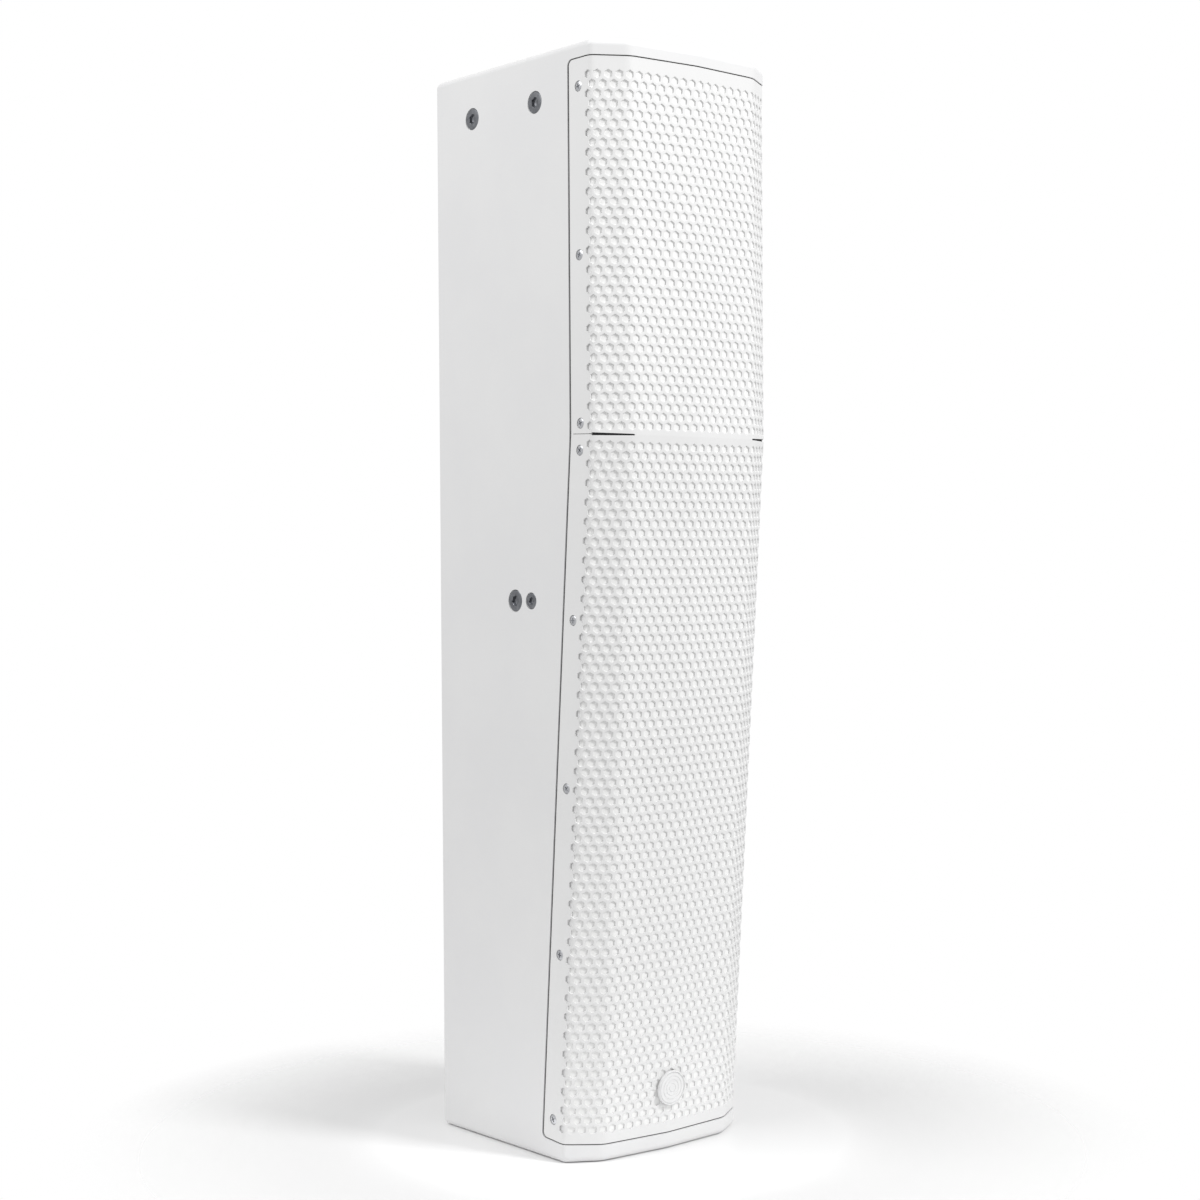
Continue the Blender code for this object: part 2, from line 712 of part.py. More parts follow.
def upright_block(side, corners, clear=0.0):
    """A block against the inside of a side panel, grown by clear on its inner and narrow faces."""
    (front, low), (rear, high) = corners
    near, far = INNER_HALF - JOINT_GAP + clear, INNER_HALF - JOINT_GAP - RIGGING_T - clear
    ends = sorted((side * near, side * far))
    return block((ends[0], front - clear, low - clear), (ends[1], rear + clear, high + clear))


def make_rigging_plate(side, name):
    bar = upright_block(side, rigging_bar())
    place(bar, name, "steel", Matrix())
    join(bar, upright_block(side, rigging_leg()))
    drill(bar, side, rigging_points())


# ---------------------------------------------------------------- woofers


def woofer_frame(number):
    """Out of the lower baffle's face, on the axis of this woofer, counted from the top."""
    down = FIRST_WOOFER + number * WOOFER_PITCH
    return LOWER @ Matrix.Translation((0, -down, -BAFFLE_DEPTH))


def make_axis(name, matrix):
    axis = bpy.data.objects.new(name, None)
    axis.empty_display_size = 20 * MM
    PARTS.objects.link(axis)
    axis.matrix_world = matrix
    return axis


def hang_on(axis, obj):
    """Parents a placed part to the empty on its axis, without moving it."""
    bpy.context.view_layer.update()
    world = obj.matrix_world.copy()
    obj.parent = axis
    obj.matrix_parent_inverse = axis.matrix_world.inverted()
    obj.matrix_world = world


def make_basket(number, frame):
    rim, mouth = FRAME_D / 2, BASKET_D / 2
    floor, seat = -BASKET_DEPTH, MAGNET_D / 2
    wall = BASKET_WALL
    neck, inner, lip = -FRAME_T - BASKET_NECK, mouth - 2 * wall, rim - FRAME_LIP
    outside = [(rim, 0), (rim, -FRAME_T), (mouth, -FRAME_T), (mouth, neck)]
    outside += [(seat, floor - wall), (POLE_D, floor - wall)]
    inside = [(POLE_D, floor), (seat - wall, floor), (inner, neck)]
    inside += [(inner, -SURROUND_SEAT), (lip, -SURROUND_SEAT), (lip, 0)]
    basket = turned(outside + inside, closed=True)
    place(basket, f"woofer_{number + 1}_basket", "basket", frame)
    low = floor + 2 * wall
    for turn in (0, math.pi / 2):
        half = BASKET_WINDOW / 2
        window = block((-rim - PAST, -half, low), (rim + PAST, half, -BAFFLE_T - JOINT_GAP))
        cut(basket, make_cutter(window, frame @ Matrix.Rotation(turn, 4, "Z")))
    return basket


def make_motor(number, frame):
    front = -BASKET_DEPTH - BASKET_WALL - JOINT_GAP
    outer, pole = MAGNET_D / 2, POLE_D / 2
    bore = COIL_D / 2 + COIL_GAP
    back = front - MAGNET_T
    floor = back + MAGNET_BACK
    profile = [(0, front), (pole, front), (pole, floor), (bore, floor), (bore, front)]
    profile += [(outer, front), (outer, back), (0, back)]
    motor = turned(profile)
    place(motor, f"woofer_{number + 1}_motor", "magnet", frame)


def cone_edge():
    """(radius, z) of the cone's front edge, level with the surround's seat."""
    return CONE_D / 2, -SURROUND_SEAT


def make_cone(number, axis, frame):
    edge_r, edge_z = cone_edge()
    neck, t = COIL_D / 2, CONE_T
    neck_z = edge_z - CONE_DEPTH
    coil_end = -BASKET_DEPTH - BASKET_WALL - COIL_REACH
    under_cap = CAP_RISE - CAP_T
    cap = [(0, neck_z + CAP_RISE), (neck * 0.6, neck_z + under_cap), (neck + CAP_LIP, neck_z + CAP_LIP)]
    outside = cap + [(edge_r, edge_z), (edge_r, edge_z - t), (neck, neck_z - t), (neck, coil_end)]
    inner = neck - COIL_T
    inside = [(inner, coil_end), (inner, neck_z), (neck / 2, neck_z + under_cap - CAP_T)]
    inside += [(0, neck_z + under_cap)]
    cone = turned(outside + inside)
    place(cone, f"woofer_{number + 1}_cone", "paper", frame)
    hang_on(axis, cone)


def make_surround(number, frame):
    """The half-roll of rubber between the cone's edge and the basket's ledge."""
    edge_r, edge_z = cone_edge()
    level = edge_z + JOINT_GAP
    outer = FRAME_D / 2 - FRAME_LIP - RUNNING_GAP
    inner = edge_r - SURROUND_GLUE
    middle = (edge_r + outer - SURROUND_GLUE) / 2
    reach = (outer - SURROUND_GLUE - edge_r) / 2
    top = level + SURROUND_T
    over = [(middle + x * reach, top + z * SURROUND_ROLL) for x, z in half_turn()]
    under = [(middle + x * (reach - SURROUND_T), level + z * SURROUND_ROLL) for x, z in half_turn()]
    profile = [(outer, top), (outer, level)] + under + [(inner, level), (inner, top)]
    profile += list(reversed(over))
    ring = turned(profile, closed=True)
    place(ring, f"woofer_{number + 1}_surround", "rubber", frame)


def half_turn(steps=3):
    """(x, z) points of an upper half circle of radius 1, from +x to -x."""
    angles = [math.pi * i / steps for i in range(steps + 1)]
    return [(math.cos(a), math.sin(a)) for a in angles]


def make_woofer(number):
    frame = woofer_frame(number)
    axis = make_axis(f"woofer_{number + 1}_axis", frame)
    make_basket(number, frame)
    make_motor(number, frame)
    make_cone(number, axis, frame)
    make_surround(number, frame)


# ---------------------------------------------------------------- high-frequency unit


def horn_frame():
    return UPPER @ Matrix.Translation((0, HORN_HEIGHT, -BAFFLE_DEPTH))


def horn_ring(half_w, half_h, power, z, steps=TURN_STEPS):
    """A ring between a circle (power 2) and a rectangle (high powers)."""
    ring = []
    for i in range(steps):
        angle = 2 * math.pi * (i + 0.5) / steps
        c, s = math.cos(angle), math.sin(angle)
        scale = (abs(c) ** power + abs(s) ** power) ** (-1 / power)
        ring.append((half_w * scale * c, half_h * scale * s, z))
    return ring


def horn_section(share, wall=0.0):
    """The horn's ring at this share of the way from throat to mouth, moved out by the wall."""
    throat = THROAT_D / 2
    half_w = throat + (HORN_WIDTH / 2 - throat) * share**HORN_FLARE + wall
    half_h = throat + (HORN_LENGTH / 2 - throat) * share + wall
    level = min(-HORN_DEPTH * (1 - share), -wall)
    return horn_ring(half_w, half_h, 2 + 8 * share, level)


def make_horn():
    shares = [i / HORN_STATIONS for i in range(HORN_STATIONS + 1)]
    flange_w, flange_h = HORN_WIDTH / 2 + HORN_FLANGE, HORN_LENGTH / 2 + HORN_FLANGE
    rings = [horn_section(share) for share in shares]
    rings += [horn_ring(flange_w, flange_h, FLANGE_POWER, level) for level in (0, -HORN_WALL)]
    rings += [horn_section(share, HORN_WALL) for share in reversed(shares)]
    horn = loft(rings, closed=True)
    place(horn, "hf_waveguide", "plastic", horn_frame())


def make_driver():
    """The high-frequency driver's motor and cover round the chamber that its dome works in."""
    outer, throat, chamber = DRIVER_D / 2, THROAT_D / 2, CHAMBER_D / 2
    front = -HORN_DEPTH - JOINT_GAP
    back = front - DRIVER_T
    wall = back + COVER_T
    step = 3 * MM
    profile = [(throat, front), (outer - step, front), (outer, front - step), (outer, back + step)]
    profile += [(outer - step, back), (0, back)]
    profile += [(0, wall), (chamber, wall), (chamber, wall + CHAMBER_T), (throat, wall + CHAMBER_T)]
    driver = turned(profile + [(throat, front)])
    place(driver, "hf_driver", "magnet", horn_frame())


def make_dome(axis):
    base = -HORN_DEPTH - JOINT_GAP - DRIVER_T + COVER_T + DOME_CLEAR
    rim, edge = CHAMBER_D / 2 - RUNNING_GAP, DOME_D / 2
    t = DOME_T
    over = [(edge * math.sin(a), base + t + DOME_RISE * math.cos(a)) for a in quarter_turn()]
    inner = edge - t
    under = [(inner * math.sin(a), base + DOME_RISE * math.cos(a)) for a in reversed(quarter_turn())]
    rim_points = [(rim, base + t), (rim, base)]
    dome = turned(over + rim_points + under)
    place(dome, "hf_diaphragm", "titanium", horn_frame())
    hang_on(axis, dome)


def quarter_turn(steps=4):
    return [math.pi / 2 * i / steps for i in range(steps + 1)]


# ---------------------------------------------------------------- terminals and crossover


def rear_frame(x, z, depth):
    """z points out of the cabinet's back, y up; depth is measured in from the rear plane."""
    outwards = Matrix.Rotation(-math.pi / 2, 4, "X") @ Matrix.Rotation(math.pi, 4, "Z")
    return Matrix.Translation((x, REAR - depth, z)) @ outwards


def socket_places():
    return [(-SOCKET_SPACING / 2, TERMINAL_HEIGHT), (SOCKET_SPACING / 2, TERMINAL_HEIGHT)]


def make_terminal_plate():
    face = REAR - TERMINAL_RECESS
    half_w, half_h = TERMINAL_W / 2, TERMINAL_H / 2
    low, high = TERMINAL_HEIGHT - half_h, TERMINAL_HEIGHT + half_h
    terminal = block((-half_w, face - TERMINAL_T, low), (half_w, face, high))
    place(terminal, "terminal_plate", "dark_steel", Matrix())
    for x, z in socket_places():
        hole = disc(SOCKET_BODY_D / 2 + JOINT_GAP, -PAST, PAST, SOCKET_STEPS)
        cut(terminal, make_cutter(hole, rear_frame(x, z, TERMINAL_RECESS)))


def make_socket(number, x, z):
    """A four-pole twist-lock socket: flange, round body, and a core in the well for the plug."""
    half_w, half_h = SOCKET_FLANGE_W / 2, SOCKET_FLANGE_H / 2
    frame = rear_frame(x, z, TERMINAL_RECESS)
    seat, face = JOINT_GAP, JOINT_GAP + SOCKET_FLANGE_T
    socket = block((-half_w, -half_h, seat), (half_w, half_h, face))
    place(socket, f"socket_{number}", "plastic", frame)
    body = disc(SOCKET_BODY_D / 2, -SOCKET_DEPTH, seat + SOCKET_FLANGE_T / 2, SOCKET_STEPS)
    boolean(socket, make_cutter(body, frame), "UNION")
    well_floor = -SOCKET_DEPTH + SOCKET_FLOOR
    core, bore = SOCKET_CORE_D / 2, SOCKET_BORE_D / 2
    tip = face - SOCKET_CORE_BACK
    profile = [(0, face + PAST), (bore, face + PAST), (bore, well_floor)]
    profile += [(core, well_floor), (core, tip), (0, tip)]
    cut(socket, make_cutter(turned(profile, SOCKET_STEPS), frame))


def make_crossover():
    """A circuit board on four posts at the rear panel, in one piece with its components."""
    frame = rear_frame(0, BOARD_BOTTOM + BOARD_H / 2, REAR_T + JOINT_GAP)
    half_w, half_h = BOARD_W / 2, BOARD_H / 2
    under = -BOARD_STANDOFF
    board = block((-half_w, -half_h, under - BOARD_T), (half_w, half_h, under))
    place(board, "crossover_board", "board", frame)
    inset = STANDOFF_D
    for x in (inset - half_w, half_w - inset):
        for y in (inset - half_h, half_h - inset):
            post = disc(STANDOFF_D / 2, under - BOARD_T / 2, 0, POST_STEPS)
            boolean(board, make_cutter(post, frame @ Matrix.Translation((x, y, 0))), "UNION")
    face = under - BOARD_T
    for y in (-INDUCTOR_SPREAD, INDUCTOR_SPREAD):
        coil = disc(INDUCTOR_D / 2, face - INDUCTOR_H, face + BOARD_T / 2)
        spot = Matrix.Translation((-half_w / 2 + MM, y, 0))
        boolean(board, make_cutter(coil, frame @ spot), "UNION")
    for y in (-CAPACITOR_L, 0, CAPACITOR_L):
        can = disc(CAPACITOR_D / 2, -CAPACITOR_L / 2, CAPACITOR_L / 2, POST_STEPS)
        spot = Matrix.Translation((half_w / 2, y, face - CAPACITOR_D / 2 + MM / 2))
        lie = Matrix.Rotation(math.pi / 2, 4, "Y")
        boolean(board, make_cutter(can, frame @ spot @ lie), "UNION")


# ---------------------------------------------------------------- build


def make_cabinet():
    make_top_panel()
    make_bottom_panel()
    make_rear_panel()
    make_upper_baffle()
    make_lower_baffle()
    make_centre_brace()
    for side, word in ((LEFT, "left"), (RIGHT, "right")):
        make_side_panel(side, f"side_panel_{word}")
        make_rigging_plate(side, f"rigging_plate_{word}")


def make_fasteners():
    rigging_names = ("upper_rear", "upper_front", "middle_m8", "middle_m6")
    for side, word in ((LEFT, "left"), (RIGHT, "right")):
        for (location, size), place_name in zip(rigging_points(), rigging_names):
            make_screw(side, location, size, f"rigging_screw_{word}_{place_name}", "dark_steel")
        for number, location in enumerate(screw_points(), 1):
            make_screw(side, location, SCREW, f"grille_screw_{word}_{number}", "steel")


def make_all():
    make_cabinet()
    make_grille()
    make_foam()
    make_badge()
    make_fasteners()
    for number in range(WOOFERS):
        make_woofer(number)
    make_horn()
    make_driver()
    make_dome(make_axis("hf_axis", horn_frame()))
    make_terminal_plate()
    for number, (x, z) in enumerate(socket_places(), 1):
        make_socket(number, x, z)
    make_crossover()


clear_scene()
PARTS = make_collection("column_loudspeaker")
CUTTERS = make_collection("cutters")
MATERIALS = make_materials()
make_all()
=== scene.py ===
"""Looks of a white column loudspeaker: painted cabinet, folded and perforated grille, plug screws, and the
drivers and terminals inside and behind it. Metres, +Z up; the front faces -Y, the base is on z = 0."""
import json
import math

import bmesh
import bpy
import numpy as np
from mathutils import Matrix, Vector


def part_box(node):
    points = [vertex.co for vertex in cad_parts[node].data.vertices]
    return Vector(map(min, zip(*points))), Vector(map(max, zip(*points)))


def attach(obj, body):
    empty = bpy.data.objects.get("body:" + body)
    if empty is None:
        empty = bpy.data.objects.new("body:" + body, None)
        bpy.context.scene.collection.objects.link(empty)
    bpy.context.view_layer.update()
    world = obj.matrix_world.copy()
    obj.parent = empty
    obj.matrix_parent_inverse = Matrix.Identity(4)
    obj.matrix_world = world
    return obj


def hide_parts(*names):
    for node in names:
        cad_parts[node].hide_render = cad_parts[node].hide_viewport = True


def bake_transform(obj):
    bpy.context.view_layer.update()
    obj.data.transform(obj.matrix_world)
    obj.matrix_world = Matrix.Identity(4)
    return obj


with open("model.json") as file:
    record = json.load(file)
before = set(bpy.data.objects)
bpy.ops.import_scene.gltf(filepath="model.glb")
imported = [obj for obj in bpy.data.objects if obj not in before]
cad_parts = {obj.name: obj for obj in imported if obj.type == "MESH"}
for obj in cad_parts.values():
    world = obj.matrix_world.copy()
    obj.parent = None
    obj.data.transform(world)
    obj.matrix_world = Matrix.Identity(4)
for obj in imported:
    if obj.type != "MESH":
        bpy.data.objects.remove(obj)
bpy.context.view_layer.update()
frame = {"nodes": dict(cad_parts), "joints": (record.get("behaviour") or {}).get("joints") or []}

MM = 0.001
NODES = frame["nodes"]

# Cabinet, from the frame
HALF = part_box("side_panel_right")[1][0]
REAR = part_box("rear_panel")[1][1]
CREST, TOP_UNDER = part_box("top_panel")[0][1:]
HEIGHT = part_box("top_panel")[1][2]
BOTTOM_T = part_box("bottom_panel")[1][2]
FOOT_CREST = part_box("bottom_panel")[0][1]
INNER_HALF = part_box("side_panel_right")[0][0]
REAR_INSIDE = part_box("rear_panel")[0][1]
EXCURSION = next(joint for joint in frame["joints"] if joint["name"] == "woofer_1_excursion")
LEAN = math.atan2(-EXCURSION["axis"][2], -EXCURSION["axis"][1])
KINK_HEIGHT = BOTTOM_T + (FOOT_CREST - CREST) / math.tan(LEAN)
LOWER_LENGTH = (KINK_HEIGHT - BOTTOM_T) / math.cos(LEAN)
UPPER_LENGTH = TOP_UNDER - KINK_HEIGHT

# Each section's own frame: x across, y up along its front, z out of the front; origin at the kink
KINK = Vector((0, CREST, KINK_HEIGHT))
UPPER = Matrix.Translation(KINK) @ Matrix.Rotation(math.pi / 2, 4, "X")
LOWER = Matrix.Translation(KINK) @ Matrix.Rotation(math.pi / 2 + LEAN, 4, "X")
SIDE_VIEW = Matrix(((0, 0, 1, 0), (1, 0, 0, 0), (0, 1, 0, 0), (0, 0, 0, 1)))
MITRE = math.tan(LEAN / 2)

# Rounding of the cabinet
EDGE_ROUND = 5 * MM
TOP_REAR_ROUND = 10.5 * MM
KINK_ROUND = 300 * MM
ARRIS = 0.5 * MM

# Front outline: facet, chamfer and flange, measured back from the crest
FACET_HALF = 60 * MM
CREST_RISE = 4.1 * MM
CHAMFER_END = 19.7 * MM
SEAM_DEPTH = 43.2 * MM
SIDE_FRONT = 21.5 * MM
CREST_BEND = 30 * MM
FRONT_BEND = 20 * MM
FLANGE_BEND = 6 * MM

# Grille sheet and its perforation
SHEET = 1.2 * MM
SHEET_INSET = 0.5 * MM
SEAM_GAP = 0.8 * MM
SEAM_CORNER = 4 * MM
SIDE_SEAM = 1.4 * MM
PITCH = 8 * MM
HOLE = 5.6 * MM
ROW_STEP = PITCH * math.sqrt(3) / 2
HOLE_COLUMNS = 24
SHEET_COLUMNS = 30
UPPER_ROWS = 37
LOWER_ROWS = 73
UPPER_FIRST_ROW = UPPER_LENGTH - 13.5 * MM
LOWER_FIRST_ROW = -8.2 * MM
HOLE_ROLL = ((0.5 * MM, 0), (0.12 * MM, -0.08 * MM), (0, -0.3 * MM))

# Creases in the sheet's blank bands: near the middle, and spread over each bend by about its turn in
# degrees. A flat section is cut off a little before the kink; that rim then moves onto the mitre.
MIDDLE_CREASES = [0.0, 1 * MM, 2 * MM]
BEND_CREASES = (-1, -0.5, 0, 0.5, 1)
FRONT_TURN = 28.05
FLANGE_TURN = 58.7
END_BAND = 15 * MM
KINK_BAND = 7 * MM
KINK_CUT = 0.8 * MM

# Relief slot in each chamfer at the kink, and the black sheet behind it: painted shade that makes the slot
# look dark
SLOT_START = 57.6 * MM
SLOT_NARROW = 0.55 * MM
SLOT_WIDE = 1.05 * MM
SLOT_LINE = 0.25 * MM
SLOT_STOP = 2.5 * MM
SLOT_SHADE_HALF = 2.4 * MM
SLOT_SHADE_LEVELS = (-SHEET - 0.05 * MM, -SHEET - 0.3 * MM)

# Foam behind the holes, and the near-black strip in the seam: painted shade that makes the seam a dark line
FOAM_T = 4 * MM
FOAM_RIM_T = MM
FOAM_LEVEL = 1.15 * MM
FOAM_PAST_BEND = 1.2 * MM
FOAM_THINNING = (16 * MM, 8 * MM)
FOAM_SHORT = 3 * MM
FOAM_ABOVE_KINK = 2.8 * MM
FOAM_BELOW_KINK = 4.4 * MM
SEAM_SHADE_LEVELS = (-0.45 * MM, -1.7 * MM)
SEAM_SHADE_GAP = 0.04 * MM

# Fasteners
RIGGING_M8 = {"head": 16 * MM, "cone": 4 * MM, "key": 7 * MM}
RIGGING_M6 = {"head": 12 * MM, "cone": 3 * MM, "key": 5 * MM}
KEY_DEPTH = 1.7 * MM
COUNTERSINK_DEPTH = 9 * MM
GRILLE_SCREW = {"head": 7 * MM, "hole": 7.9 * MM, "cone": 2 * MM}
SCREW_DEPTH = SEAM_DEPTH - 10.4 * MM
SCREW_BELOW_TOP = 20.5 * MM
SCREW_ABOVE_KINK = 8.8 * MM
SCREW_BELOW_KINK = 12.9 * MM
SCREW_ABOVE_FOOT = 15.8 * MM

# Badge
BADGE_RADIUS = 13 * MM
BADGE_FACE = 2.3 * MM
BADGE_GROOVE = 1.9 * MM

# Terminal plate and its twist-lock sockets; depths run inwards from the flange's face
PLATE_STEP = 0.4 * MM
PLATE_RIM = 1.5 * MM
PLATE_SCREW_INSET = 6 * MM
FLANGE_HALF_SIZE = (13 * MM, 15.5 * MM)
FLANGE_T = 2.4 * MM
FLANGE_SCREWS = (9 * MM, 12 * MM)
COLLAR_RADIUS = 12.6 * MM
COLLAR_RISE = 0.7 * MM
SOCKET_DEPTH = 22 * MM
WELL_RADIUS = 11.2 * MM
WELL_DEPTH = 19 * MM
CORE_RADIUS = 4.5 * MM
CORE_DEPTH = 2 * MM
KEYWAY_HALF = 1.6 * MM
KEYWAY_TURN = 0.55
CONTACT_HALF = 0.7 * MM

# Woofer surrounds, measured from the woofer's axis and the lower baffle's face
BAFFLE_DEPTH = 22 * MM
CONE_EDGE = 42 * MM
SURROUND_OUTER = 51.8 * MM
SURROUND_GLUE = 2.4 * MM
SURROUND_REACH = (SURROUND_OUTER - SURROUND_GLUE - CONE_EDGE) / 2
SURROUND_T = 0.8 * MM
SURROUND_ROLL = 3.4 * MM
SURROUND_LEVEL = -1.1 * MM


# ---------------------------------------------------------------- meshes


def linked(name, data):
    """A new object in the scene."""
    made = bpy.data.objects.new(name, data)
    bpy.context.scene.collection.objects.link(made)
    return made


def from_bmesh(work, name="shape", turn_out=True):
    if turn_out:
        bmesh.ops.recalc_face_normals(work, faces=work.faces)
    mesh = bpy.data.meshes.new(name)
    work.to_mesh(mesh)
    work.free()
    return linked(name, mesh)


def applied(made):
    """The object with its modifiers turned into plain mesh."""
    bpy.context.view_layer.update()
    evaluated = made.evaluated_get(bpy.context.evaluated_depsgraph_get())
    mesh = bpy.data.meshes.new_from_object(evaluated)
    made.modifiers.clear()
    made.data = mesh
    return made


def prism(outline, low, high, matrix=None):
    """A flat outline of (x, y) points drawn out from low to high along z, then placed by the matrix."""
    work = bmesh.new()
    rings = [[work.verts.new((x, y, z)) for x, y in outline] for z in (low, high)]
    count = len(outline)
    for i in range(count):
        j = (i + 1) % count
        work.faces.new((rings[0][i], rings[0][j], rings[1][j], rings[1][i]))
    work.faces.new(reversed(rings[0]))
    work.faces.new(rings[1])
    if matrix:
        work.transform(matrix)
    return from_bmesh(work)


def block(low, high):
    """A box between two corners."""
    outline = [(low[0], low[1]), (high[0], low[1]), (high[0], high[1]), (low[0], high[1])]
    return prism(outline, low[2], high[2])


def turned(profile, steps=32, matrix=None):
    """A closed solid of revolution about z from a profile of (radius, z) whose ends lie on the axis."""
    work = bmesh.new()
    rings = []
    for radius, z in profile:
        if radius < 1e-7:
            rings.append([work.verts.new((0, 0, z))])
            continue
        angles = [2 * math.pi * i / steps for i in range(steps)]
        rings.append([work.verts.new((radius * math.cos(a), radius * math.sin(a), z)) for a in angles])
    skin_all(work, rings, capped=False)
    if matrix:
        work.transform(matrix)
    return from_bmesh(work)


def skin(work, ring, after):
    """Faces between two closed rings, either of which may be a single point."""
    count = max(len(ring), len(after))
    for i in range(count):
        j = (i + 1) % count
        corners = [ring[i % len(ring)], ring[j % len(ring)], after[j % len(after)], after[i % len(after)]]
        unique = list(dict.fromkeys(corners))
        if len(unique) > 2:
            work.faces.new(unique)


def skin_all(work, rings, capped=True):
    """Faces along a row of rings, and over its two ends where it is capped."""
    for ring, after in zip(rings, rings[1:]):
        skin(work, ring, after)
    if capped:
        work.faces.new(rings[0])
        work.faces.new(rings[-1])


def combine(made, other, operation):
    """Union or difference with another solid, which is used up."""
    step = made.modifiers.new("Combine", "BOOLEAN")
    step.operation = operation
    step.object = other
    step.solver = "EXACT"
    applied(made)
    bpy.data.objects.remove(other)
    return made


def gathered(parts, name="cutters"):
    """Several separate solids as one object."""
    work = bmesh.new()
    for part in parts:
        part.data.transform(part.matrix_world)
        work.from_mesh(part.data)
        bpy.data.objects.remove(part)
    return from_bmesh(work, name, turn_out=False)


def arc(centre, radius, start, end, steps):
    """Points round part of a circle, angles in degrees."""
    angles = [math.radians(start + (end - start) * i / steps) for i in range(steps + 1)]
    return [(centre[0] + radius * math.cos(a), centre[1] + radius * math.sin(a)) for a in angles]


def softened(points, radii, steps=8):
    """An open run of points whose inner corners are rounded, each by its own radius."""
    done = [points[0]]
    for before, corner, after, radius in zip(points, points[1:], points[2:], radii):
        corner = Vector(corner)
        back = (Vector(before) - corner).normalized()
        ahead = (Vector(after) - corner).normalized()
        half = back.angle(ahead) / 2
        reach = radius / math.tan(half)
        middle = corner + (back + ahead).normalized() * (radius / math.sin(half))
        first, last = corner + back * reach - middle, corner + ahead * reach - middle
        for i in range(steps + 1):
            spoke = first.lerp(last, i / steps)
            done.append(tuple(middle + spoke.normalized() * radius))
    return done + [points[-1]]


def shade(made, angle=35):
    """Smooth faces, with sharp edges where the surface turns more than this."""
    made.data.shade_smooth()
    made.data.set_sharp_from_angle(angle=math.radians(angle))
    return made


def even_faces(made):
    """Lets large flat faces keep their own shading up to their rounded edges."""
    weigh = made.modifiers.new("Even faces", "WEIGHTED_NORMAL")
    weigh.keep_sharp = True
    weigh.weight = 90
    return applied(made)


def dress(made, name, slot, *replaced, material=None):
    """Names a piece, gives it a material, the one under the slot's name unless another is given, and hides
    the imported nodes that it replaces.
    """
    made.name = name
    made.data.name = name
    made.data.materials.clear()
    made.data.materials.append(material or MATERIALS[slot])
    if replaced:
        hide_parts(*replaced)
    return made


def finish_piece(made, name, slot, *replaced, material=None):
    """A finished piece that is part of the still cabinet."""
    dress(made, name, slot, *replaced, material=material)
    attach(made, "root")
    return made


def middle_of(name):
    """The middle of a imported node's box."""
    low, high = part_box(name)
    return (Vector(low) + Vector(high)) / 2


# ---------------------------------------------------------------- node trees


def add(tree, kind, wires=(), **settings):
    """One node with its settings; wires give each input, by name or number, a socket to join or a value."""
    node = tree.nodes.new(kind)
    node.location = (190 * (len(tree.nodes) % 12), -240 * (len(tree.nodes) // 12))
    for name, value in settings.items():
        setattr(node, name, value)
    for name, value in dict(wires).items():
        if isinstance(value, bpy.types.NodeSocket):
            tree.links.new(value, node.inputs[name])
        else:
            node.inputs[name].default_value = value
    return node


def sum_of(tree, operation, *values):
    """The result of one Math node."""
    return add(tree, "ShaderNodeMath", enumerate(values), operation=operation).outputs[0]


def new_group(name, inputs, outputs, kind="ShaderNodeTree"):
    """A node group with named sockets; inputs are (name, socket type, usual value)."""
    tree = bpy.data.node_groups.new(name, kind)
    for label, socket, usual in inputs:
        made = tree.interface.new_socket(label, in_out="INPUT", socket_type=socket)
        if usual is not None:
            made.default_value = usual
    for label, socket in outputs:
        tree.interface.new_socket(label, in_out="OUTPUT", socket_type=socket)
    return tree, add(tree, "NodeGroupInput").outputs, add(tree, "NodeGroupOutput").inputs


FLOAT, COLOUR, GEOMETRY = "NodeSocketFloat", "NodeSocketColor", "NodeSocketGeometry"
FINISH_OUTPUTS = [("Color", COLOUR), ("Roughness", FLOAT), ("Height", FLOAT)]


def noise(tree, place, scale, detail=2.0, roughness=0.5):
    wires = {"Vector": place, "Scale": scale, "Detail": detail, "Roughness": roughness}
    return add(tree, "ShaderNodeTexNoise", wires).outputs["Fac"]


def object_place(tree, stretch=(1, 1, 1)):
    """Object coordinates, stretched along an axis where a grain runs."""
    place = add(tree, "ShaderNodeTexCoord").outputs["Object"]
    if stretch == (1, 1, 1):
        return place
    return add(tree, "ShaderNodeMapping", {"Vector": place, "Scale": stretch}).outputs["Vector"]


def tinted(tree, share, dark, light):
    """A colour between two others by a share."""
    wires = {"Factor": share, "A": dark, "B": light}
    node = add(tree, "ShaderNodeMix", data_type="RGBA")
    for label, value in wires.items():
        socket = next(s for s in node.inputs if s.name == label and s.enabled)
        if isinstance(value, bpy.types.NodeSocket):
            tree.links.new(value, socket)
        else:
            socket.default_value = value
    return next(s for s in node.outputs if s.enabled)


def spread(tree, value, low, high, to_low, to_high):
    """One range mapped onto another, clamped at its ends."""
    wires = {"Value": value, "From Min": low, "From Max": high, "To Min": to_low, "To Max": to_high}
    return add(tree, "ShaderNodeMapRange", wires).outputs["Result"]


def deliver(tree, result, colour, roughness, height):
    """Joins a finish group's results to its outputs."""
    for name, value in (("Color", colour), ("Roughness", roughness), ("Height", height)):
        tree.links.new(value, result[name])


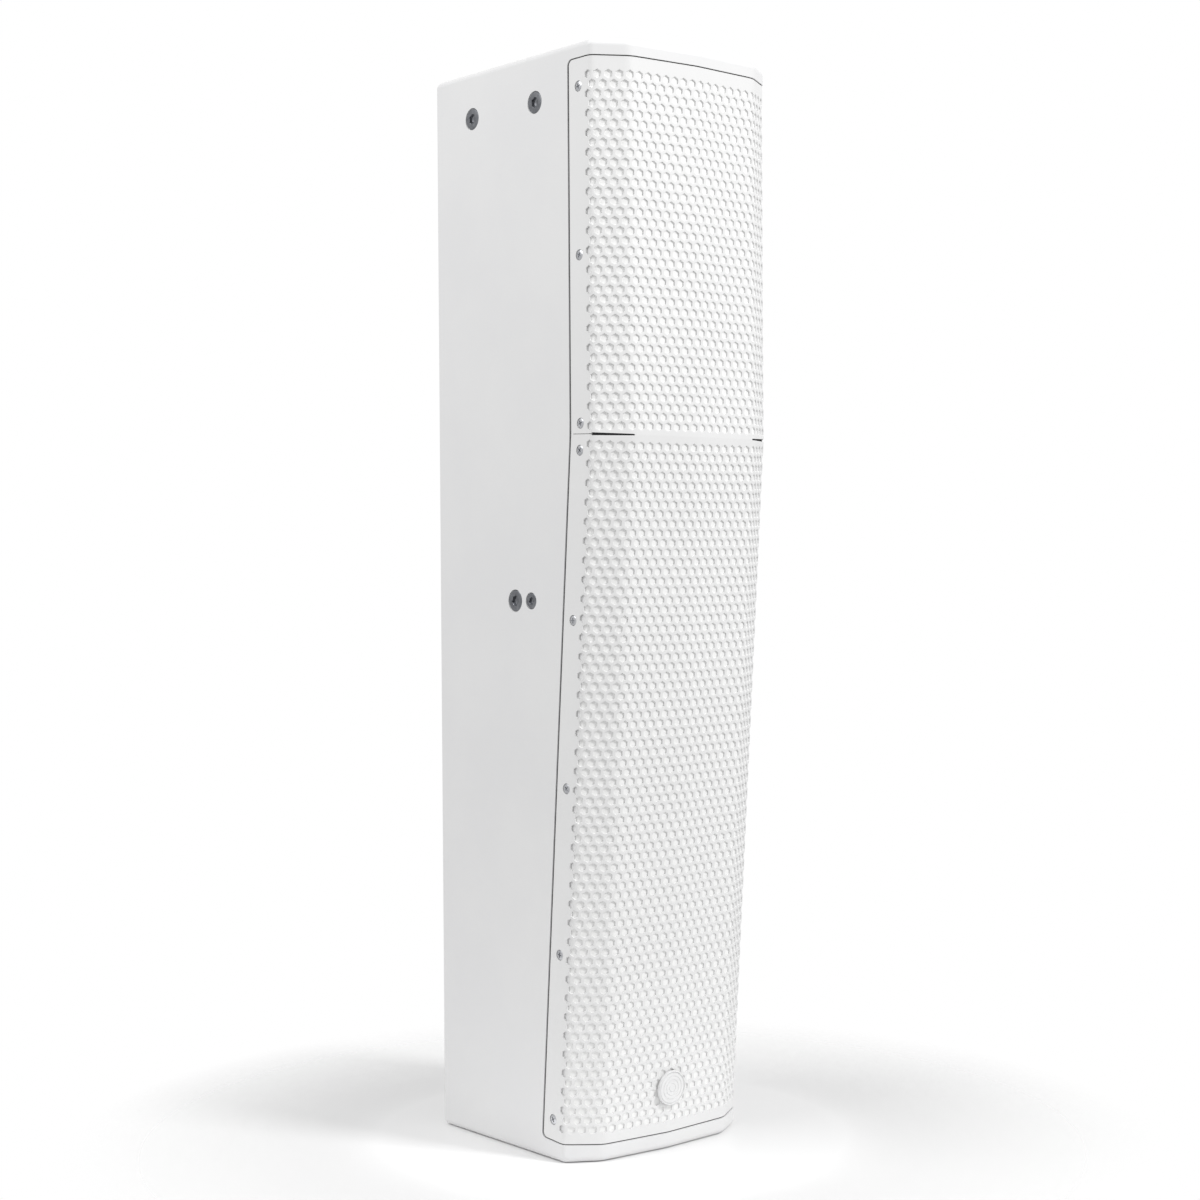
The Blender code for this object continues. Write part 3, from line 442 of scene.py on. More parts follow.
def make_sprayed_grain():
    """Sprayed and baked paint: fine orange peel over slow, faint clouds of shade and of gloss."""
    inputs = [
        ("Paint", COLOUR, (0.8, 0.8, 0.8, 1)),
        ("Shaded Paint", COLOUR, (0.75, 0.75, 0.75, 1)),
        ("Grain Size", FLOAT, 0.0012),
        ("Gloss Low", FLOAT, 0.4),
        ("Gloss High", FLOAT, 0.5),
    ]
    tree, given, result = new_group("Sprayed grain", inputs, FINISH_OUTPUTS)
    place = object_place(tree)
    scale = sum_of(tree, "DIVIDE", 1.0, given["Grain Size"])
    peel = noise(tree, place, scale, 1.5)
    dots = add(tree, "ShaderNodeTexVoronoi", {"Vector": place, "Scale": scale}, feature="SMOOTH_F1")
    dots.inputs["Smoothness"].default_value = 0.6
    clouds = noise(tree, place, 9.0, 4.0, 0.6)
    rubbed = noise(tree, place, 34.0, 5.0, 0.65)
    share = spread(tree, clouds, 0.35, 0.65, 0.0, 1.0)
    speck = spread(tree, peel, 0.3, 0.75, 0.0, 0.35)
    mixed = sum_of(tree, "SUBTRACT", share, speck)
    colour = tinted(tree, mixed, given["Shaded Paint"], given["Paint"])
    gloss = spread(tree, rubbed, 0.3, 0.7, given["Gloss Low"], given["Gloss High"])
    height = sum_of(tree, "ADD", peel, sum_of(tree, "MULTIPLY", dots.outputs["Distance"], 0.6))
    deliver(tree, result, colour, gloss, height)
    return tree


def make_dust():
    """Thin dust that settles on faces that look up, broken up by a noise; the result is a share."""
    tree, given, result = new_group("Settled dust", [("Amount", FLOAT, 0.1)], [("Dust", FLOAT)])
    normal = add(tree, "ShaderNodeNewGeometry").outputs["Normal"]
    up = add(tree, "ShaderNodeSeparateXYZ", {"Vector": normal}).outputs["Z"]
    facing = spread(tree, up, 0.4, 1.0, 0.0, 1.0)
    broken = spread(tree, noise(tree, object_place(tree), 60.0, 6.0, 0.7), 0.35, 0.75, 0.0, 1.0)
    layer = sum_of(tree, "MULTIPLY", facing, broken)
    tree.links.new(sum_of(tree, "MULTIPLY", layer, given["Amount"]), result["Dust"])
    return tree


def make_plated_metal():
    """Turned and plated steel: tool marks, faint stains and small rubbed patches."""
    inputs = [
        ("Metal", COLOUR, (0.5, 0.5, 0.5, 1)),
        ("Stain", COLOUR, (0.3, 0.3, 0.3, 1)),
        ("Gloss Low", FLOAT, 0.25),
        ("Gloss High", FLOAT, 0.45),
        ("Mark Size", FLOAT, 0.0004),
    ]
    tree, given, result = new_group("Plated metal", inputs, FINISH_OUTPUTS)
    place = object_place(tree)
    marks = noise(tree, place, sum_of(tree, "DIVIDE", 1.0, given["Mark Size"]), 3.0, 0.6)
    stains = noise(tree, place, 240.0, 4.0, 0.6)
    share = spread(tree, stains, 0.35, 0.7, 1.0, 0.0)
    colour = tinted(tree, share, given["Stain"], given["Metal"])
    mixed = sum_of(tree, "MULTIPLY_ADD", marks, 0.5, sum_of(tree, "MULTIPLY", stains, 0.5))
    gloss = spread(tree, mixed, 0.3, 0.7, given["Gloss Low"], given["Gloss High"])
    deliver(tree, result, colour, gloss, marks)
    return tree


def make_moulded_grain():
    """Moulded plastic or rubber: pebbled grain with slightly lighter crowns."""
    inputs = [
        ("Deep", COLOUR, (0.02, 0.02, 0.02, 1)),
        ("Crown", COLOUR, (0.05, 0.05, 0.05, 1)),
        ("Grain Size", FLOAT, 0.0006),
        ("Gloss Low", FLOAT, 0.5),
        ("Gloss High", FLOAT, 0.7),
    ]
    tree, given, result = new_group("Moulded grain", inputs, FINISH_OUTPUTS)
    place = object_place(tree)
    scale = sum_of(tree, "DIVIDE", 1.0, given["Grain Size"])
    cells = add(tree, "ShaderNodeTexVoronoi", {"Vector": place, "Scale": scale}).outputs["Distance"]
    clouds = noise(tree, place, 45.0, 5.0, 0.6)
    share = sum_of(tree, "MULTIPLY", spread(tree, cells, 0.1, 0.7, 1.0, 0.2), clouds)
    colour = tinted(tree, share, given["Deep"], given["Crown"])
    gloss = spread(tree, clouds, 0.3, 0.7, given["Gloss Low"], given["Gloss High"])
    deliver(tree, result, colour, gloss, sum_of(tree, "SUBTRACT", 1.0, cells))
    return tree


def make_foam_cells():
    """Open-cell foam: small pits between bright struts."""
    inputs = [
        ("Strut", COLOUR, (0.8, 0.8, 0.8, 1)),
        ("Pit", COLOUR, (0.5, 0.5, 0.5, 1)),
        ("Cell Size", FLOAT, 0.0009),
    ]
    tree, given, result = new_group("Foam cells", inputs, FINISH_OUTPUTS)
    place = object_place(tree)
    scale = sum_of(tree, "DIVIDE", 1.0, given["Cell Size"])
    wires = {"Vector": place, "Scale": scale}
    cells = add(tree, "ShaderNodeTexVoronoi", wires, feature="DISTANCE_TO_EDGE").outputs["Distance"]
    pits = spread(tree, cells, 0.02, 0.35, 0.0, 1.0)
    colour = tinted(tree, pits, given["Strut"], given["Pit"])
    gloss = spread(tree, noise(tree, place, 400.0), 0.3, 0.7, 0.85, 1.0)
    deliver(tree, result, colour, gloss, sum_of(tree, "SUBTRACT", 1.0, pits))
    return tree


def make_wood_layers():
    """Birch plywood: long grain on the faces, thin layers on the edges, black stain towards the grille."""
    inputs = [
        ("Pale", COLOUR, (0.6, 0.45, 0.28, 1)),
        ("Dark", COLOUR, (0.38, 0.25, 0.14, 1)),
        ("Layer", FLOAT, 0.0014),
    ]
    tree, given, result = new_group("Wood layers", inputs, FINISH_OUTPUTS)
    grain = noise(tree, object_place(tree, (260, 260, 9)), 1.0, 5.0, 0.6)
    pores = noise(tree, object_place(tree, (1500, 1500, 60)), 1.0, 3.0, 0.7)
    across = add(tree, "ShaderNodeSeparateXYZ", {"Vector": object_place(tree)}).outputs["Y"]
    ply = sum_of(tree, "PINGPONG", across, given["Layer"])
    facing = add(tree, "ShaderNodeNewGeometry").outputs["Normal"]
    normal = add(tree, "ShaderNodeSeparateXYZ", {"Vector": facing})
    edge = spread(tree, sum_of(tree, "ABSOLUTE", normal.outputs["Y"]), 0.5, 0.8, 1.0, 0.0)
    layered = sum_of(tree, "MULTIPLY", edge, sum_of(tree, "DIVIDE", ply, given["Layer"]))
    figure = spread(tree, grain, 0.3, 0.7, 0.0, 0.7)
    share = sum_of(tree, "MAXIMUM", figure, layered)
    bare = tinted(tree, share, given["Pale"], given["Dark"])
    stained = spread(tree, normal.outputs["Y"], -0.9, -0.6, 1.0, 0.0)
    colour = tinted(tree, stained, bare, (0.012, 0.012, 0.012, 1))
    gloss = spread(tree, pores, 0.3, 0.7, 0.55, 0.75)
    deliver(tree, result, colour, gloss, sum_of(tree, "ADD", pores, grain))
    return tree


def make_pressed_fibre():
    """Pressed paper pulp: short fibres lying every way, lightly pressed."""
    inputs = [("Pulp", COLOUR, (0.03, 0.03, 0.03, 1)), ("Fibre", COLOUR, (0.08, 0.08, 0.08, 1))]
    tree, given, result = new_group("Pressed fibre", inputs, FINISH_OUTPUTS)
    place = object_place(tree)
    ways = ((2600, 300, 300), (300, 300, 2600))
    lines = [noise(tree, object_place(tree, way), 1.0, 4.0, 0.7) for way in ways]
    fibres = sum_of(tree, "MAXIMUM", *lines)
    colour = tinted(tree, spread(tree, fibres, 0.5, 0.75, 0.0, 1.0), given["Pulp"], given["Fibre"])
    gloss = spread(tree, noise(tree, place, 90.0), 0.3, 0.7, 0.7, 0.9)
    deliver(tree, result, colour, gloss, fibres)
    return tree


GROUPS = {
    "paint": make_sprayed_grain(),
    "dust": make_dust(),
    "metal": make_plated_metal(),
    "moulded": make_moulded_grain(),
    "foam": make_foam_cells(),
    "wood": make_wood_layers(),
    "fibre": make_pressed_fibre(),
}


FINISH_VALUES = {
    "paint": ("Paint", "Shaded Paint", "Grain Size", "Gloss Low", "Gloss High"),
    "metal": ("Metal", "Stain", "Mark Size", "Gloss Low", "Gloss High"),
    "moulded": ("Deep", "Crown", "Grain Size", "Gloss Low", "Gloss High"),
    "foam": ("Strut", "Pit", "Cell Size"),
    "wood": ("Pale", "Dark"),
    "fibre": ("Pulp", "Fibre"),
    "dust": ("Amount",),
}


def use_group(tree, key, values):
    """A node that runs one of the groups, with its values in the order of FINISH_VALUES."""
    node = add(tree, "ShaderNodeGroup", node_tree=GROUPS[key])
    for label, value in zip(FINISH_VALUES[key], values):
        node.inputs[label].default_value = (*value, 1) if isinstance(value, tuple) else value
    return node


def new_material(name):
    """A material with its node tree and its shader node."""
    material = bpy.data.materials.new(name)
    material.use_nodes = True
    return material, material.node_tree, material.node_tree.nodes["Principled BSDF"]


def set_bump(tree, shader, height, depth, strength):
    wires = {"Height": height, "Distance": depth, "Strength": strength}
    tree.links.new(add(tree, "ShaderNodeBump", wires).outputs["Normal"], shader.inputs["Normal"])


def make_material(name, group, values, bump, metallic=0.0, dust=0.0, coat=0.0, specular=0.5):
    """A material whose colour, gloss and bump come from one finish group, with dust laid over it."""
    material, tree, shader = new_material(name)
    finish = use_group(tree, group, values)
    colour = finish.outputs["Color"]
    if dust:
        layer = use_group(tree, "dust", (dust,))
        colour = tinted(tree, layer.outputs["Dust"], colour, (0.55, 0.54, 0.52, 1))
    tree.links.new(colour, shader.inputs["Base Color"])
    tree.links.new(finish.outputs["Roughness"], shader.inputs["Roughness"])
    set_bump(tree, shader, finish.outputs["Height"], *bump)
    shader.inputs["Metallic"].default_value = metallic
    shader.inputs["Coat Weight"].default_value = coat
    shader.inputs["Specular IOR Level"].default_value = specular
    MATERIALS[name] = material


def make_board_material():
    """Circuit board: green lacquer over tracks, and copper windings on whatever stands on the board."""
    material, tree, shader = new_material("board")
    place = object_place(tree)
    at = add(tree, "ShaderNodeSeparateXYZ", {"Vector": place}).outputs
    plane = add(tree, "ShaderNodeCombineXYZ", {"X": at["X"], "Y": at["Z"]}).outputs[0]
    wires = {"Vector": plane, "Scale": 90.0, "Mortar Size": 0.04, "Bias": -0.4}
    tracks = add(tree, "ShaderNodeTexBrick", wires).outputs["Fac"]
    lacquer = tinted(tree, tracks, (0.012, 0.09, 0.035, 1), (0.03, 0.2, 0.08, 1))
    windings = sum_of(tree, "SINE", sum_of(tree, "MULTIPLY", at["Y"], 5200.0))
    share = spread(tree, windings, -1.0, 1.0, 0.0, 1.0)
    copper = tinted(tree, share, (0.16, 0.05, 0.02, 1), (0.55, 0.24, 0.11, 1))
    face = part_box("crossover_board")[0][1] + 2 * MM
    stands = spread(tree, at["Y"], face, face + 0.4 * MM, 0.0, 1.0)
    tree.links.new(tinted(tree, stands, lacquer, copper), shader.inputs["Base Color"])
    tree.links.new(spread(tree, noise(tree, place, 300.0), 0.3, 0.7, 0.3, 0.5), shader.inputs["Roughness"])
    set_bump(tree, shader, tracks, 0.0002, 0.4)
    MATERIALS["board"] = material


def make_materials():
    """Every material by its slot's name: finish, its values, then the bump's depth and strength."""
    white, white_shade = (0.80, 0.80, 0.80), (0.775, 0.775, 0.78)
    sheet, sheet_shade = (0.81, 0.81, 0.81), (0.785, 0.785, 0.785)
    make_material("paint", "paint", (white, white_shade, 0.0011, 0.42, 0.54), (0.00004, 0.5), dust=0.04)
    make_material("grille", "paint", (sheet, sheet_shade, 0.0007, 0.40, 0.52), (0.00003, 0.4), dust=0.03)
    strut, pit = (0.93, 0.93, 0.925), (0.86, 0.86, 0.855)
    make_material("foam", "foam", (strut, pit, 0.0005), (0.0001, 0.4), specular=0.2)
    pale, dark = (0.60, 0.45, 0.28), (0.36, 0.23, 0.12)
    make_material("plywood", "wood", (pale, dark), (0.0001, 0.4), dust=0.1)
    metal, stain = (0.30, 0.31, 0.33), (0.17, 0.175, 0.19)
    make_material("dark_steel", "metal", (metal, stain, 0.0005, 0.26, 0.42), (0.00002, 0.35), metallic=1.0)
    metal, stain = (0.74, 0.75, 0.77), (0.55, 0.56, 0.59)
    make_material("steel", "metal", (metal, stain, 0.0003, 0.22, 0.40), (0.00002, 0.4), metallic=1.0)
    metal, stain = (0.46, 0.47, 0.50), (0.36, 0.36, 0.40)
    make_material("titanium", "metal", (metal, stain, 0.0012, 0.18, 0.34), (0.00004, 0.4), metallic=1.0)
    metal, stain = (0.10, 0.10, 0.108), (0.05, 0.05, 0.055)
    values = (metal, stain, 0.0009, 0.45, 0.65)
    make_material("magnet", "metal", values, (0.00008, 0.5), metallic=0.6, dust=0.15)
    values = ((0.03, 0.03, 0.033), (0.018, 0.018, 0.02), 0.0009, 0.38, 0.52)
    make_material("basket", "paint", values, (0.00006, 0.5), metallic=0.2, dust=0.12)
    values = ((0.022, 0.022, 0.023), (0.06, 0.06, 0.062))
    make_material("paper", "fibre", values, (0.00012, 0.6), dust=0.1)
    values = ((0.012, 0.012, 0.013), (0.035, 0.035, 0.037), 0.0008, 0.55, 0.72)
    make_material("rubber", "moulded", values, (0.00006, 0.5), dust=0.12)
    values = ((0.018, 0.018, 0.02), (0.045, 0.045, 0.048), 0.0005, 0.36, 0.52)
    make_material("plastic", "moulded", values, (0.00004, 0.45), dust=0.06)
    # near-black seam strip and slot sheets: painted shade
    values = ((0.012, 0.012, 0.013), (0.03, 0.03, 0.031), 0.0007, 0.7, 0.85)
    make_material("strip", "moulded", values, (0.00008, 0.5))
    values = ((0.82, 0.82, 0.82), (0.79, 0.79, 0.795), 0.002, 0.24, 0.34)
    make_material("badge", "paint", values, (0.00001, 0.3), coat=0.3, dust=0.02)
    make_board_material()


MATERIALS = {}
make_materials()
for node in NODES.values():
    for held in node.material_slots:
        held.material = MATERIALS[held.material.name.split(".")[0]]


# ---------------------------------------------------------------- repeated things by geometry nodes


def deliver_mesh(tree, last, given, result):
    """Gives a geometry group's mesh its finish and joins it to the output."""
    wires = {"Geometry": last.outputs["Geometry"], "Material": given["Finish"]}
    finish = add(tree, "GeometryNodeSetMaterial", wires)
    tree.links.new(finish.outputs["Geometry"], result["Geometry"])


def make_fastener_tree():
    """Sets one part at every point of the carrying mesh, turned as the point's turn attribute says."""
    inputs = [
        ("Geometry", GEOMETRY, None),
        ("Part", "NodeSocketObject", None),
        ("Scale", FLOAT, 1.0),
        ("Finish", "NodeSocketMaterial", None),
    ]
    tree, given, result = new_group("Set at points", inputs, [("Geometry", GEOMETRY)], "GeometryNodeTree")
    part = add(tree, "GeometryNodeObjectInfo", {"Object": given["Part"]})
    turn = add(tree, "GeometryNodeInputNamedAttribute", {"Name": "turn"}, data_type="FLOAT_VECTOR")
    wires = {
        "Points": given["Geometry"],
        "Instance": part.outputs["Geometry"],
        "Rotation": turn.outputs["Attribute"],
        "Scale": given["Scale"],
    }
    placed = add(tree, "GeometryNodeInstanceOnPoints", wires)
    real = add(tree, "GeometryNodeRealizeInstances", {"Geometry": placed.outputs["Instances"]})
    deliver_mesh(tree, real, given, result)
    return tree


def make_sheet_tree():
    """A flat sheet of hexagonal cells, two grids of rows half a pitch apart, with blank cells outside."""
    inputs = [
        ("Geometry", GEOMETRY, None),
        ("Holed Cell", "NodeSocketObject", None),
        ("Blank Cell", "NodeSocketObject", None),
        ("Pitch", FLOAT, PITCH),
        ("Row Step", FLOAT, ROW_STEP),
        ("Hole Half Span", FLOAT, 0.09),
        ("Hole Rows", "NodeSocketInt", UPPER_ROWS),
        ("Columns", "NodeSocketInt", SHEET_COLUMNS),
        ("Middle", FLOAT, 0.0),
        ("Finish", "NodeSocketMaterial", None),
    ]
    outputs = [("Geometry", GEOMETRY)]
    tree, given, result = new_group("Perforated sheet", inputs, outputs, "GeometryNodeTree")
    points = []
    for offset in (0, 1):
        columns = sum_of(tree, "SUBTRACT", given["Columns"], float(offset))
        rows = sum_of(tree, "MULTIPLY_ADD", given["Hole Rows"], 0.5, 2.5 + offset)
        step = sum_of(tree, "MULTIPLY", given["Row Step"], 2.0)
        wires = {
            "Size X": sum_of(tree, "MULTIPLY", sum_of(tree, "SUBTRACT", columns, 1.0), given["Pitch"]),
            "Size Y": sum_of(tree, "MULTIPLY", sum_of(tree, "SUBTRACT", rows, 1.0), step),
            "Vertices X": columns,
            "Vertices Y": rows,
        }
        points.append(add(tree, "GeometryNodeMeshGrid", wires).outputs["Mesh"])
    both = add(tree, "GeometryNodeJoinGeometry")
    for grid in points:
        tree.links.new(grid, both.inputs["Geometry"])
    at = add(tree, "ShaderNodeSeparateXYZ", {"Vector": add(tree, "GeometryNodeInputPosition").outputs[0]})
    inside = sum_of(tree, "LESS_THAN", sum_of(tree, "ABSOLUTE", at.outputs["X"]), given["Hole Half Span"])
    all_rows = sum_of(tree, "MULTIPLY", given["Hole Rows"], given["Row Step"])
    half_rows = sum_of(tree, "MULTIPLY", all_rows, 0.5)
    level = sum_of(tree, "LESS_THAN", sum_of(tree, "ABSOLUTE", at.outputs["Y"]), half_rows)
    holed = sum_of(tree, "MULTIPLY", inside, level)
    blank = sum_of(tree, "SUBTRACT", 1.0, holed)
    cells = add(tree, "GeometryNodeJoinGeometry")
    for chosen, label in ((holed, "Holed Cell"), (blank, "Blank Cell")):
        cell = add(tree, "GeometryNodeObjectInfo", {"Object": given[label]}).outputs["Geometry"]
        wires = {"Points": both.outputs["Geometry"], "Selection": chosen, "Instance": cell}
        placed = add(tree, "GeometryNodeInstanceOnPoints", wires)
        tree.links.new(placed.outputs["Instances"], cells.inputs["Geometry"])
    real = add(tree, "GeometryNodeRealizeInstances", {"Geometry": cells.outputs["Geometry"]})
    shift = add(tree, "ShaderNodeCombineXYZ", {"Y": given["Middle"]})
    wires = {"Geometry": real.outputs["Geometry"], "Translation": shift.outputs[0]}
    moved = add(tree, "GeometryNodeTransform", wires)
    wires = {"Geometry": moved.outputs["Geometry"], "Distance": 1e-5}
    deliver_mesh(tree, add(tree, "GeometryNodeMergeByDistance", wires), given, result)
    return tree


def grown(carrier, tree, values):
    """Runs a geometry tree on the carrying object with these values, and keeps the result as plain mesh."""
    step = carrier.modifiers.new("Make", "NODES")
    step.node_group = tree
    for item in tree.interface.items_tree:
        if item.item_type == "SOCKET" and item.in_out == "INPUT" and item.name in values:
            step[item.identifier] = values[item.name]
    return applied(carrier)


FASTENER_TREE = make_fastener_tree()
SHEET_TREE = make_sheet_tree()


def set_at(part, matrices, name, slot, *replaced):
    """One piece made of the part set at every matrix."""
    mesh = bpy.data.meshes.new("points")
    mesh.from_pydata([m.to_translation() for m in matrices], [], [])
    turns = mesh.attributes.new("turn", "FLOAT_VECTOR", "POINT")
    for item, matrix in zip(turns.data, matrices):
        item.vector = matrix.to_euler("XYZ")
    carrier = linked(name, mesh)
    grown(carrier, FASTENER_TREE, {"Part": part, "Finish": MATERIALS[slot]})
    bpy.data.objects.remove(part)
    return finish_piece(shade(carrier), name, slot, *replaced)


# ---------------------------------------------------------------- front profile


def front_line(inset):
    """Half of the front seen from above, as (x, depth), from the middle to the side."""
    return [
        (0, inset),
        (FACET_HALF - inset / 2, CREST_RISE + inset),
        (HALF - inset, CHAMFER_END + inset / 2),
    ]


class Fold:
    """The grille's half profile: a distance along the flat sheet gives a place and a direction outwards."""

    def __init__(self):
        line = front_line(SHEET_INSET) + [(HALF - SHEET_INSET, SEAM_DEPTH)]
        self.points = [np.array(p) for p in line]
        self.runs = [np.linalg.norm(b - a) for a, b in zip(self.points, self.points[1:])]
        self.bends = np.cumsum([0.0] + self.runs)
        self.angles = [math.atan2(b[1] - a[1], b[0] - a[0]) for a, b in zip(self.points, self.points[1:])]
        self.radii = [CREST_BEND, FRONT_BEND, FLANGE_BEND]

    @property
    def end(self):
        return self.bends[-1]

    def at(self, along):
        """Arrays of x, depth and the outward direction's angle for distances from the middle, 0 or more."""
        x, depth, angle = (np.zeros_like(along) for _ in range(3))
        for i, (start, slope) in enumerate(zip(self.bends, self.angles)):
            here = along >= start - 1e-9
            x[here] = self.points[i][0] + (along[here] - start) * math.cos(slope)
            depth[here] = self.points[i][1] + (along[here] - start) * math.sin(slope)
            angle[here] = slope
        befores = [-self.angles[0]] + self.angles
        for i, (before, after, radius) in enumerate(zip(befores, self.angles, self.radii)):
            self.round_off(along, x, depth, angle, i, before, after, radius)
        return x, depth, angle

    def round_off(self, along, x, depth, angle, index, before, after, radius):
        """Replaces the sharp corner at one bend by part of a circle."""
        turn = after - before
        reach = radius * math.tan(turn / 2)
        share = (along - (self.bends[index] - reach)) / (2 * reach)
        near = (share > 0) & (share < 1)
        corner = self.points[index]
        start = corner - reach * np.array([math.cos(before), math.sin(before)])
        middle = start + radius * np.array([-math.sin(before), math.cos(before)])
        slope = before + turn * share[near]
        x[near] = middle[0] + radius * np.sin(slope)
        depth[near] = middle[1] - radius * np.cos(slope)
        angle[near] = slope


FOLD = Fold()


def folded(flat):
    """Bends flat (along, up, out) points round the front profile into a section's own x, y, z."""
    side = np.where(flat[:, 0] < 0, -1.0, 1.0)
    x, depth, angle = FOLD.at(np.abs(flat[:, 0]))
    out = flat[:, 2]
    bent = np.empty_like(flat)
    bent[:, 0] = side * (x + out * np.sin(angle))
    bent[:, 1] = flat[:, 1]
    bent[:, 2] = -(depth - out * np.cos(angle))
    return bent


def read_points(mesh):
    points = np.empty(len(mesh.vertices) * 3)
    mesh.vertices.foreach_get("co", points)
    return points.reshape(-1, 3)


def write_points(mesh, points):
    mesh.vertices.foreach_set("co", points.astype(np.float32).ravel())
    mesh.update()


# ---------------------------------------------------------------- grille


def hexagon(across, level):
    """A hexagon that stands on a point, by the distance across its flats."""
    radius = across / math.sqrt(3)
    angles = [math.radians(30 + 60 * i) for i in range(6)]
    return [Vector((radius * math.cos(a), radius * math.sin(a), level)) for a in angles]


def make_holed_cell():
    """One cell of the sheet round one hole, whose front edge is rolled over by the punch and the paint."""
    rolled = [(HOLE + wider, level) for wider, level in HOLE_ROLL]
    steps = [(PITCH, 0), *rolled, (HOLE, -SHEET), (PITCH, -SHEET)]
    work = bmesh.new()
    rings = [[work.verts.new(point) for point in hexagon(across, level)] for across, level in steps]
    skin_all(work, rings, capped=False)
    return from_bmesh(work, "holed_cell", turn_out=False)


def make_blank_cell():
    """One cell without a hole, in the bands where the sheet bends or ends."""
    work = bmesh.new()
    work.faces.new([work.verts.new(point) for point in hexagon(PITCH, 0)])
    work.faces.new([work.verts.new(point) for point in reversed(hexagon(PITCH, -SHEET))])
    return from_bmesh(work, "blank_cell", turn_out=False)


def slice_off(work, at, outwards):
    """Cuts the sheet on a line; what lies beyond it goes."""
    geometry = work.verts[:] + work.edges[:] + work.faces[:]
    bmesh.ops.bisect_plane(work, geom=geometry, dist=1e-6, plane_co=at, plane_no=outwards, clear_outer=True)


def crease(work, along, level, reach):
    """A crease line across the blank cells near one level."""
    faces = [face for face in work.faces if abs(face.calc_center_median().y - level) < reach]
    edges = {edge for face in faces for edge in face.edges}
    verts = {vert for face in faces for vert in face.verts}
    geometry = list(verts) + list(edges) + faces
    bmesh.ops.bisect_plane(work, geom=geometry, dist=1e-6, plane_co=(along, 0, 0), plane_no=(1, 0, 0))


def crease_places():
    """Distances from the middle at which blank cells are creased, so that they fold cleanly."""
    places = list(MIDDLE_CREASES)
    for bend, turn, radius in zip(FOLD.bends[1:3], (FRONT_TURN, FLANGE_TURN), (FRONT_BEND, FLANGE_BEND)):
        reach = radius * math.tan(math.radians(turn) / 2)
        places += [bend + reach * step for step in BEND_CREASES]
    return places


def slot_steps():
    """Distances from the middle at which the relief slot changes, and half its height at each of them."""
    bend, stop = FOLD.bends[2], FOLD.end - SLOT_STOP
    places = [SLOT_START, SLOT_START + 0.6 * MM, bend + 0.4 * MM, bend + 1.4 * MM, stop, stop + 0.3 * MM]
    return places, [0, SLOT_NARROW, SLOT_WIDE, SLOT_LINE, SLOT_LINE, 0]


def trim_sheet(work, end_level, kink_level, upwards):
    """Trims a flat section to its outline, with rounded corners at its end, and creases its blank bands."""
    end = FOLD.end
    for side in (-1, 1):
        slice_off(work, (side * end, 0, 0), (side, 0, 0))
    slice_off(work, (0, max(end_level, kink_level), 0), (0, 1, 0))
    slice_off(work, (0, min(end_level, kink_level), 0), (0, -1, 0))
    for side in (-1, 1):
        centre = Vector((side * (end - SEAM_CORNER), end_level - upwards * SEAM_CORNER, 0))
        for turn in range(15, 90, 15):
            angle = math.radians(turn)
            outwards = Vector((side * math.cos(angle), upwards * math.sin(angle), 0))
            slice_off(work, centre + outwards * SEAM_CORNER, outwards)
    for side in (-1, 1):
        for along in crease_places():
            crease(work, side * along, end_level, END_BAND)
            crease(work, side * along, kink_level, KINK_BAND)
        for along in slot_steps()[0]:
            crease(work, side * along, kink_level, KINK_BAND)


def wall_edges(work):
    """Closes the sheet's rim between its front and its back."""
    rim = [edge for edge in work.edges if len(edge.link_faces) == 1]
    backs = {}

    def key(vert):
        return round(vert.co.x * 1e6), round(vert.co.y * 1e6)

    for edge in rim:
        if edge.verts[0].co.z < -SHEET / 2:
            backs[frozenset(key(v) for v in edge.verts)] = {key(v): v for v in edge.verts}
    for edge in rim:
        if edge.verts[0].co.z < -SHEET / 2:
            continue
        pair = backs.get(frozenset(key(v) for v in edge.verts))
        if pair:
            loop = edge.link_loops[0]
            first, second = loop.vert, loop.link_loop_next.vert
            work.faces.new((second, first, pair[key(first)], pair[key(second)]))


def make_section(cells, rows, first_row, length, screws, matrix, upwards):
    """One section of the grille: grown flat, trimmed, drilled, then folded and put in place. It runs up
    from the kink where upwards is 1, and down from it where upwards is -1."""
    carrier = linked("section", bpy.data.meshes.new("section"))
    values = {
        "Holed Cell": cells[0],
        "Blank Cell": cells[1],
        "Hole Half Span": (HOLE_COLUMNS / 2) * PITCH - PITCH / 2 + PITCH / 8,
        "Hole Rows": rows,
        "Columns": SHEET_COLUMNS,
        "Middle": first_row - (rows - 1) / 2 * ROW_STEP,
        "Finish": MATERIALS["grille"],
    }
    grown(carrier, SHEET_TREE, values)
    work = bmesh.new()
    work.from_mesh(carrier.data)
    kink_level = upwards * KINK_CUT
    trim_sheet(work, upwards * (length - SEAM_GAP), kink_level, upwards)
    wall_edges(work)
    work.to_mesh(carrier.data)
    work.free()
    drill_sheet(carrier, screws)
    points = read_points(carrier.data)
    at_kink = np.abs(points[:, 1] - kink_level) < 1e-6
    bent = folded(points)
    offset = -bent[:, 2] * MITRE + np.interp(np.abs(points[:, 0]), *slot_steps())
    bent[at_kink, 1] = upwards * offset[at_kink]
    turn = np.array(matrix)
    write_points(carrier.data, bent @ turn[:3, :3].T + turn[:3, 3])
    return carrier


def drill_sheet(sheet, screws):
    """Clearance holes for the flange screws, through the flat sheet."""
    along = FOLD.bends[2] + SCREW_DEPTH - FOLD.points[2][1]
    radius = GRILLE_SCREW["hole"] / 2
    tools = []
    for up in screws:
        for side in (-1, 1):
            profile = [(0, MM), (radius, MM), (radius, -SHEET - MM), (0, -SHEET - MM)]
            tools.append(turned(profile, 20, Matrix.Translation((side * along, up, 0))))
    combine(sheet, gathered(tools), "DIFFERENCE")


